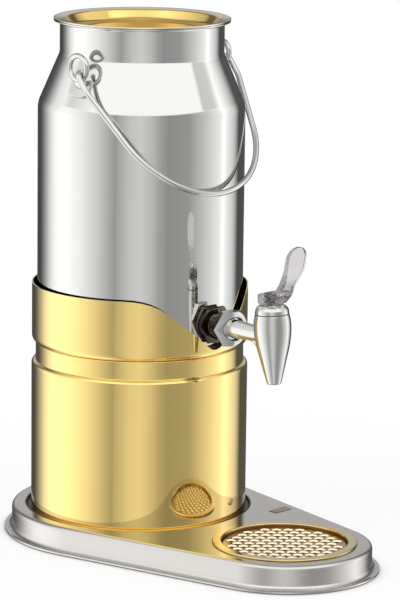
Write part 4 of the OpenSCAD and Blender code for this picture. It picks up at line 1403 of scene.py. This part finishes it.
class DISPENSER_OT_lever(bpy.types.Operator):
    """Moulds the clear lever from its side and front outlines, and sets its pin"""

    bl_idname = "dispenser.lever"
    bl_label = "Lever and pin"

    voxel = 0.32 * MM
    pin_round = 0.3 * MM
    half_blank = 20 * MM
    side_corners = (
        (13.63, 1.33, 2), (27.48, 23.5, 24), (31.5, 42.4, 1.5), (27.5, 42.4, 1.5), (22.48, 23.5, 19),
        (10.0, 7.2, 5), (-8, 3.8, 1.5), (-8, -4.3, 1.5),
    )
    slot_corners = ((-4.1, -8), (9.7, -8), (9.7, 4.6), (-4.1, 4.6))

    def side_outline(self, s):
        """Points (forward, up) of the lever seen from the side."""

        def toe(angle):
            """The toe: an involute cam on the bonnet, which lifts the pin as the lever tilts."""
            fall = s.drop + s.arm * angle
            return Vector((
                fall * math.sin(angle) + s.arm * math.cos(angle),
                -fall * math.cos(angle) + s.arm * math.sin(angle),
            ))

        corners = [(x * MM, z * MM, r * MM) for x, z, r in self.side_corners]
        path = [tuple(toe(s.travel)), *corners, tuple(toe(0))]
        return eased(path) + [toe(s.travel * k / 16) for k in range(1, 16)]

    def front_outline(self, s):
        """Points (across, up) of the lever seen from the front."""
        half = eased([
            (s.foot_half, -6.3 * MM),
            (s.foot_half, 5 * MM, 2 * MM),
            (s.neck_half, 11 * MM, 9 * MM),
            (s.paddle_half, 25 * MM, 14 * MM),
            (s.paddle_half, s.paddle_top, 9.9 * MM),
            (0, s.paddle_top),
        ])
        return half + [Vector((-p.x, p.y)) for p in reversed(half[:-1])]

    def execute(self, context):
        s = context.scene.dispenser_lever
        centre, axis, side = tap_lines(context.scene.dispenser_tap)
        pin = centre + axis * s.pin
        points = [pin + side * p.x + axis * p.y - ACROSS * self.half_blank for p in self.side_outline(s)]
        piece = slab(points, ACROSS * 2 * self.half_blank)
        points = [pin - side * 10 * MM + ACROSS * p.x + axis * p.y for p in self.front_outline(s)]
        cut(piece, slab(points, side * 50 * MM), "INTERSECT")
        points = [pin + side * x * MM + axis * z * MM - ACROSS * s.slot_half for x, z in self.slot_corners]
        cut(piece, slab(points, ACROSS * 2 * s.slot_half))
        applied(piece, "REMESH", mode="VOXEL", voxel_size=self.voxel)
        applied(piece, "SMOOTH", factor=0.5, iterations=40)
        settled(piece, "lever_paddle", "lever", clear_acrylic(pin), ["lever"], 180)
        outline = eased([
            (0, -s.foot_half),
            (s.pin_radius, -s.foot_half, self.pin_round),
            (s.pin_radius, s.foot_half, self.pin_round),
            (0, s.foot_half),
        ])
        rod = turned(outline, pin, ACROSS, side, 32)
        settled(rod, "pin_rod", "lever", fitting_steel(), ["lever_pin"])
        return DONE


class DISPENSER_OT_insides(bpy.types.Operator):
    """Gives the pieces inside and underneath their finishes"""

    bl_idname = "dispenser.insides"
    bl_label = "Insides and feet"

    def execute(self, context):
        rubber = black_rubber()
        steel = plain_finish("screw_steel", (0.55, 0.55, 0.54), 0.3, 900, 1.0)
        silicone = plain_finish("seal_silicone", (0.75, 0.75, 0.72), 0.45, 500)
        finishes = {
            **dict.fromkeys(("base_feet", "outer_seal", "stem_ring", "valve_plug"), rubber),
            **dict.fromkeys(("inner_seal", "union_washer"), silicone),
            **dict.fromkeys(("base_screws", "base_nuts", "shelf_screws", "shelf_nuts"), steel),
            "stem": fitting_steel(),
            "can_shelf": plain_finish("shelf_plastic", (0.8, 0.8, 0.78), 0.5, 700),
            "cool_pack": plain_finish("pack_plastic", (0.72, 0.84, 0.93), 0.4, 600),
            "pack_cap": plain_finish("cap_plastic", (0.05, 0.16, 0.5), 0.3, 600),
        }
        for name, finish in finishes.items():
            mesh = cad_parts[name].data
            mesh.materials.clear()
            mesh.materials.append(finish)
        return DONE


class DISPENSER_OT_stage(bpy.types.Operator):
    """Sets the floor, the studio's light and the camera"""

    bl_idname = "dispenser.stage"
    bl_label = "Stage"

    bearing = 0.8043401
    distance = 2621.367 * MM
    height = 726.016 * MM
    focal = 3329.688
    pitch = 0.2022089
    yaw = -0.0183999
    roll = 0.0124887
    low_cards = (
        (-180, 0.07), (-150, 0.08), (-141, 0.20), (-131, 0.52), (-119, 1.10), (-109, 1.45), (-100, 1.55),
        (-88, 1.50), (-73, 1.32), (-60, 1.08), (-47, 0.84), (-35, 0.58), (-27.6, 0.45), (-26.6, 0.53),
        (-12, 0.80), (0, 0.88), (11, 0.73), (22, 0.49), (28, 0.43), (29, 0.39), (54, 0.44), (72, 0.75),
        (87, 1.03), (97, 1.22), (104, 1.6), (111, 1.22), (125, 0.79), (137, 0.10), (180, 0.09),
    )
    mid_cards = (
        (-180, 0.58), (-158, 0.45), (-148, 0.12), (-141, 0.18), (-131, 0.52), (-119, 1.10), (-100, 1.45),
        (-88, 1.40), (-73, 1.25), (-60, 1.05), (-47, 0.84), (-35, 0.58), (-27.6, 0.45), (-26.6, 0.53),
        (-12, 0.80), (0, 0.88), (11, 0.73), (22, 0.49), (28, 0.43), (29, 0.39), (54, 0.44), (72, 0.75),
        (87, 1.03), (97, 1.22), (104, 1.6), (125, 0.79), (138, 0.12), (148, 0.12), (158, 0.45), (180, 0.58),
    )
    high_cards = (
        (-180, 0.58), (-156, 0.40), (-146, 0.12), (-138, 0.12), (-130, 0.55), (-105, 0.85), (-75, 1.20),
        (-60, 1.40), (76, 1.40), (80, 0.85), (118, 0.95), (134, 0.5), (140, 0.12), (148, 0.12), (158, 0.45),
        (180, 0.58),
    )

    def ramp(self, world, value, cards):
        """A band of studio cards round the object, by bearing from the camera in degrees."""
        top = max(level for _, level in cards)
        made = node(world, "ValToRGB", Fac=value)
        stops = made.color_ramp.elements
        while len(stops) < len(cards):
            stops.new(0.5)
        for stop, (bearing, level) in zip(stops, cards):
            stop.position = bearing / 360 + 0.5
            stop.color = (level / top,) * 3 + (1,)
        scaled = node(world, "VectorMath", i0=made.outputs["Color"])
        scaled.operation = "SCALE"
        scaled.inputs["Scale"].default_value = top
        return scaled.outputs["Vector"]

    def studio(self, scene):
        """Soft light all round: cards that the metal mirrors, and white behind the object."""
        world = bpy.data.worlds.new("studio")
        scene.world = world
        world.use_nodes = True
        place = node(world, "TexCoord")
        facing = node(
            world, "Mapping", Vector=place.outputs["Generated"], Rotation=(0, 0, math.pi / 2 - self.bearing)
        )
        parts = node(world, "SeparateXYZ", Vector=facing.outputs["Vector"])
        angle = worked(world, "Math", "ARCTAN2", i0=parts.outputs["Y"], i1=parts.outputs["X"])
        share = worked(world, "Math", "MULTIPLY", i0=angle, i1=1 / (2 * math.pi))
        centred = worked(world, "Math", "ADD", i0=share, i1=0.5)
        height = parts.outputs["Z"]
        rings = (self.low_cards, self.mid_cards, self.high_cards)
        low, mid, high = (self.ramp(world, centred, cards) for cards in rings)
        cards = blend(world, stepped(world, height, 0.02, 0.18), low, mid)
        cards = blend(world, stepped(world, height, 0.34, 0.42), cards, high)
        cards = blend(world, stepped(world, height, 0.88, 0.99), cards, (0.5, 0.5, 0.5))
        rays = node(world, "LightPath").outputs
        light = blend(world, rays["Is Diffuse Ray"], cards, (0.75, 0.75, 0.75))
        seen = worked(world, "Math", "MAXIMUM", i0=rays["Is Camera Ray"], i1=rays["Is Transmission Ray"])
        light = blend(world, seen, light, (1, 1, 1))
        world.node_tree.links.new(light, world.node_tree.nodes["Background"].inputs["Color"])

    def floor(self):
        """A pale floor that fades into the white behind it, with a painted contact shadow in its glow near
        the object.
        """
        piece = added(bpy.ops.mesh.primitive_circle_add, vertices=96, radius=1.6, fill_type="NGON")
        bpy.ops.mesh.inset(thickness=0.6)
        object_mode()
        piece.name = "floor"
        material = bpy.data.materials.new("pale_floor")
        material.use_nodes = True
        tree = material.node_tree
        shader = tree.nodes["Principled BSDF"]
        pale = (0.93, 0.93, 0.93, 1)
        plug(material, shader, Base_Color=pale, Roughness=0.9, Specular_IOR_Level=0.1)
        # Ambient occlusion dims the glow near the object: a painted contact shadow.
        near = node(material, "AmbientOcclusion", Distance=0.012)
        near.samples = 8
        glow_with_painted_shadow = node(material, "Emission", Strength=1.0, Color=near.outputs["Color"])
        far = worked(material, "VectorMath", "LENGTH", i0=node(material, "TexCoord").outputs["Object"])
        fade = stepped(material, far, 0.22, 0.55, 0.85, 1.0)
        camera_ray = node(material, "LightPath").outputs["Is Camera Ray"]
        shown = worked(material, "Math", "MULTIPLY", i0=fade, i1=camera_ray)
        both = node(
            material, "MixShader", Fac=shown, i1=shader.outputs["BSDF"], i2=glow_with_painted_shadow.outputs["Emission"]
        )
        plug(material, tree.nodes["Material Output"], Surface=both.outputs["Shader"])
        piece.data.materials.append(material)
        piece.visible_glossy = False

    def lamp(self, scene, name, place, size, power):
        """A soft square lamp that looks at the can."""
        data = bpy.data.lights.new(name, "AREA")
        data.size = size
        data.energy = power
        lamp = bpy.data.objects.new(name, data)
        scene.collection.objects.link(lamp)
        lamp.location = place
        aim = Vector((0, 0, 0.2)) - Vector(place)
        lamp.rotation_euler = aim.to_track_quat("-Z", "Y").to_euler()
        lamp.visible_glossy = False

    def camera(self, scene):
        """The camera at the photograph's angle."""
        data = bpy.data.cameras.new("view")
        camera = bpy.data.objects.new("view", data)
        scene.collection.objects.link(camera)
        scene.camera = camera
        data.sensor_width = 36
        data.lens = self.focal * 36 / 600
        data.clip_start, data.clip_end = 0.05, 50
        heading = self.bearing + self.yaw
        right = Vector((math.cos(heading), math.sin(heading), 0))
        ahead = Vector((
            -math.sin(heading) * math.cos(self.pitch),
            math.cos(heading) * math.cos(self.pitch),
            -math.sin(self.pitch),
        ))
        above = right.cross(ahead)
        c, s = math.cos(self.roll), math.sin(self.roll)
        x, y, z = right * c + above * s, above * c - right * s, -ahead
        turn_of = Matrix((x, y, z)).transposed()
        back = Vector((math.sin(self.bearing), -math.cos(self.bearing), 0))
        spot = CAN_FOOT + self.distance * back + UP * self.height
        camera.matrix_world = Matrix.Translation(spot) @ turn_of.to_4x4()

    def execute(self, context):
        scene = context.scene
        scene.view_settings.view_transform = "Standard"
        self.studio(scene)
        self.floor()
        self.lamp(scene, "key_lamp", (-0.6, -1.6, 1.9), 1.2, 14)
        self.lamp(scene, "fill_lamp", (1.8, 0.6, 1.5), 1.2, 7)
        self.camera(scene)
        return DONE


class DISPENSER_PT_pieces(bpy.types.Panel):
    """Lists the pieces of the dispenser"""

    bl_label = "Milk dispenser"
    bl_space_type = "VIEW_3D"
    bl_region_type = "UI"
    bl_category = "Dispenser"

    def draw(self, context):
        for operator in PIECES:
            self.layout.operator(operator.bl_idname)


GROUPS = {
    "dispenser_can": CanSizes,
    "dispenser_column": ColumnSizes,
    "dispenser_base": BaseSizes,
    "dispenser_bail": BailSizes,
    "dispenser_tap": TapSizes,
    "dispenser_lever": LeverSizes,
    "dispenser_colours": Colours,
}
PIECES = (
    DISPENSER_OT_stage,
    DISPENSER_OT_can,
    DISPENSER_OT_lid,
    DISPENSER_OT_column,
    DISPENSER_OT_collar,
    DISPENSER_OT_base,
    DISPENSER_OT_tray,
    DISPENSER_OT_grille,
    DISPENSER_OT_badge,
    DISPENSER_OT_ears,
    DISPENSER_OT_bail,
    DISPENSER_OT_nuts,
    DISPENSER_OT_tap,
    DISPENSER_OT_bonnet,
    DISPENSER_OT_spring,
    DISPENSER_OT_lever,
    DISPENSER_OT_insides,
)


def register():
    for group in GROUPS.values():
        bpy.utils.register_class(group)
    for name, group in GROUPS.items():
        setattr(bpy.types.Scene, name, PointerProperty(type=group))
    for piece in (*PIECES, DISPENSER_PT_pieces):
        bpy.utils.register_class(piece)


def unregister():
    for piece in (DISPENSER_PT_pieces, *reversed(PIECES)):
        bpy.utils.unregister_class(piece)
    for name in GROUPS:
        delattr(bpy.types.Scene, name)
    for group in GROUPS.values():
        bpy.utils.unregister_class(group)


def main():
    register()
    for piece in PIECES:
        family, action = piece.bl_idname.split(".")
        getattr(getattr(bpy.ops, family), action)()


if __name__ == "__main__":
    main()
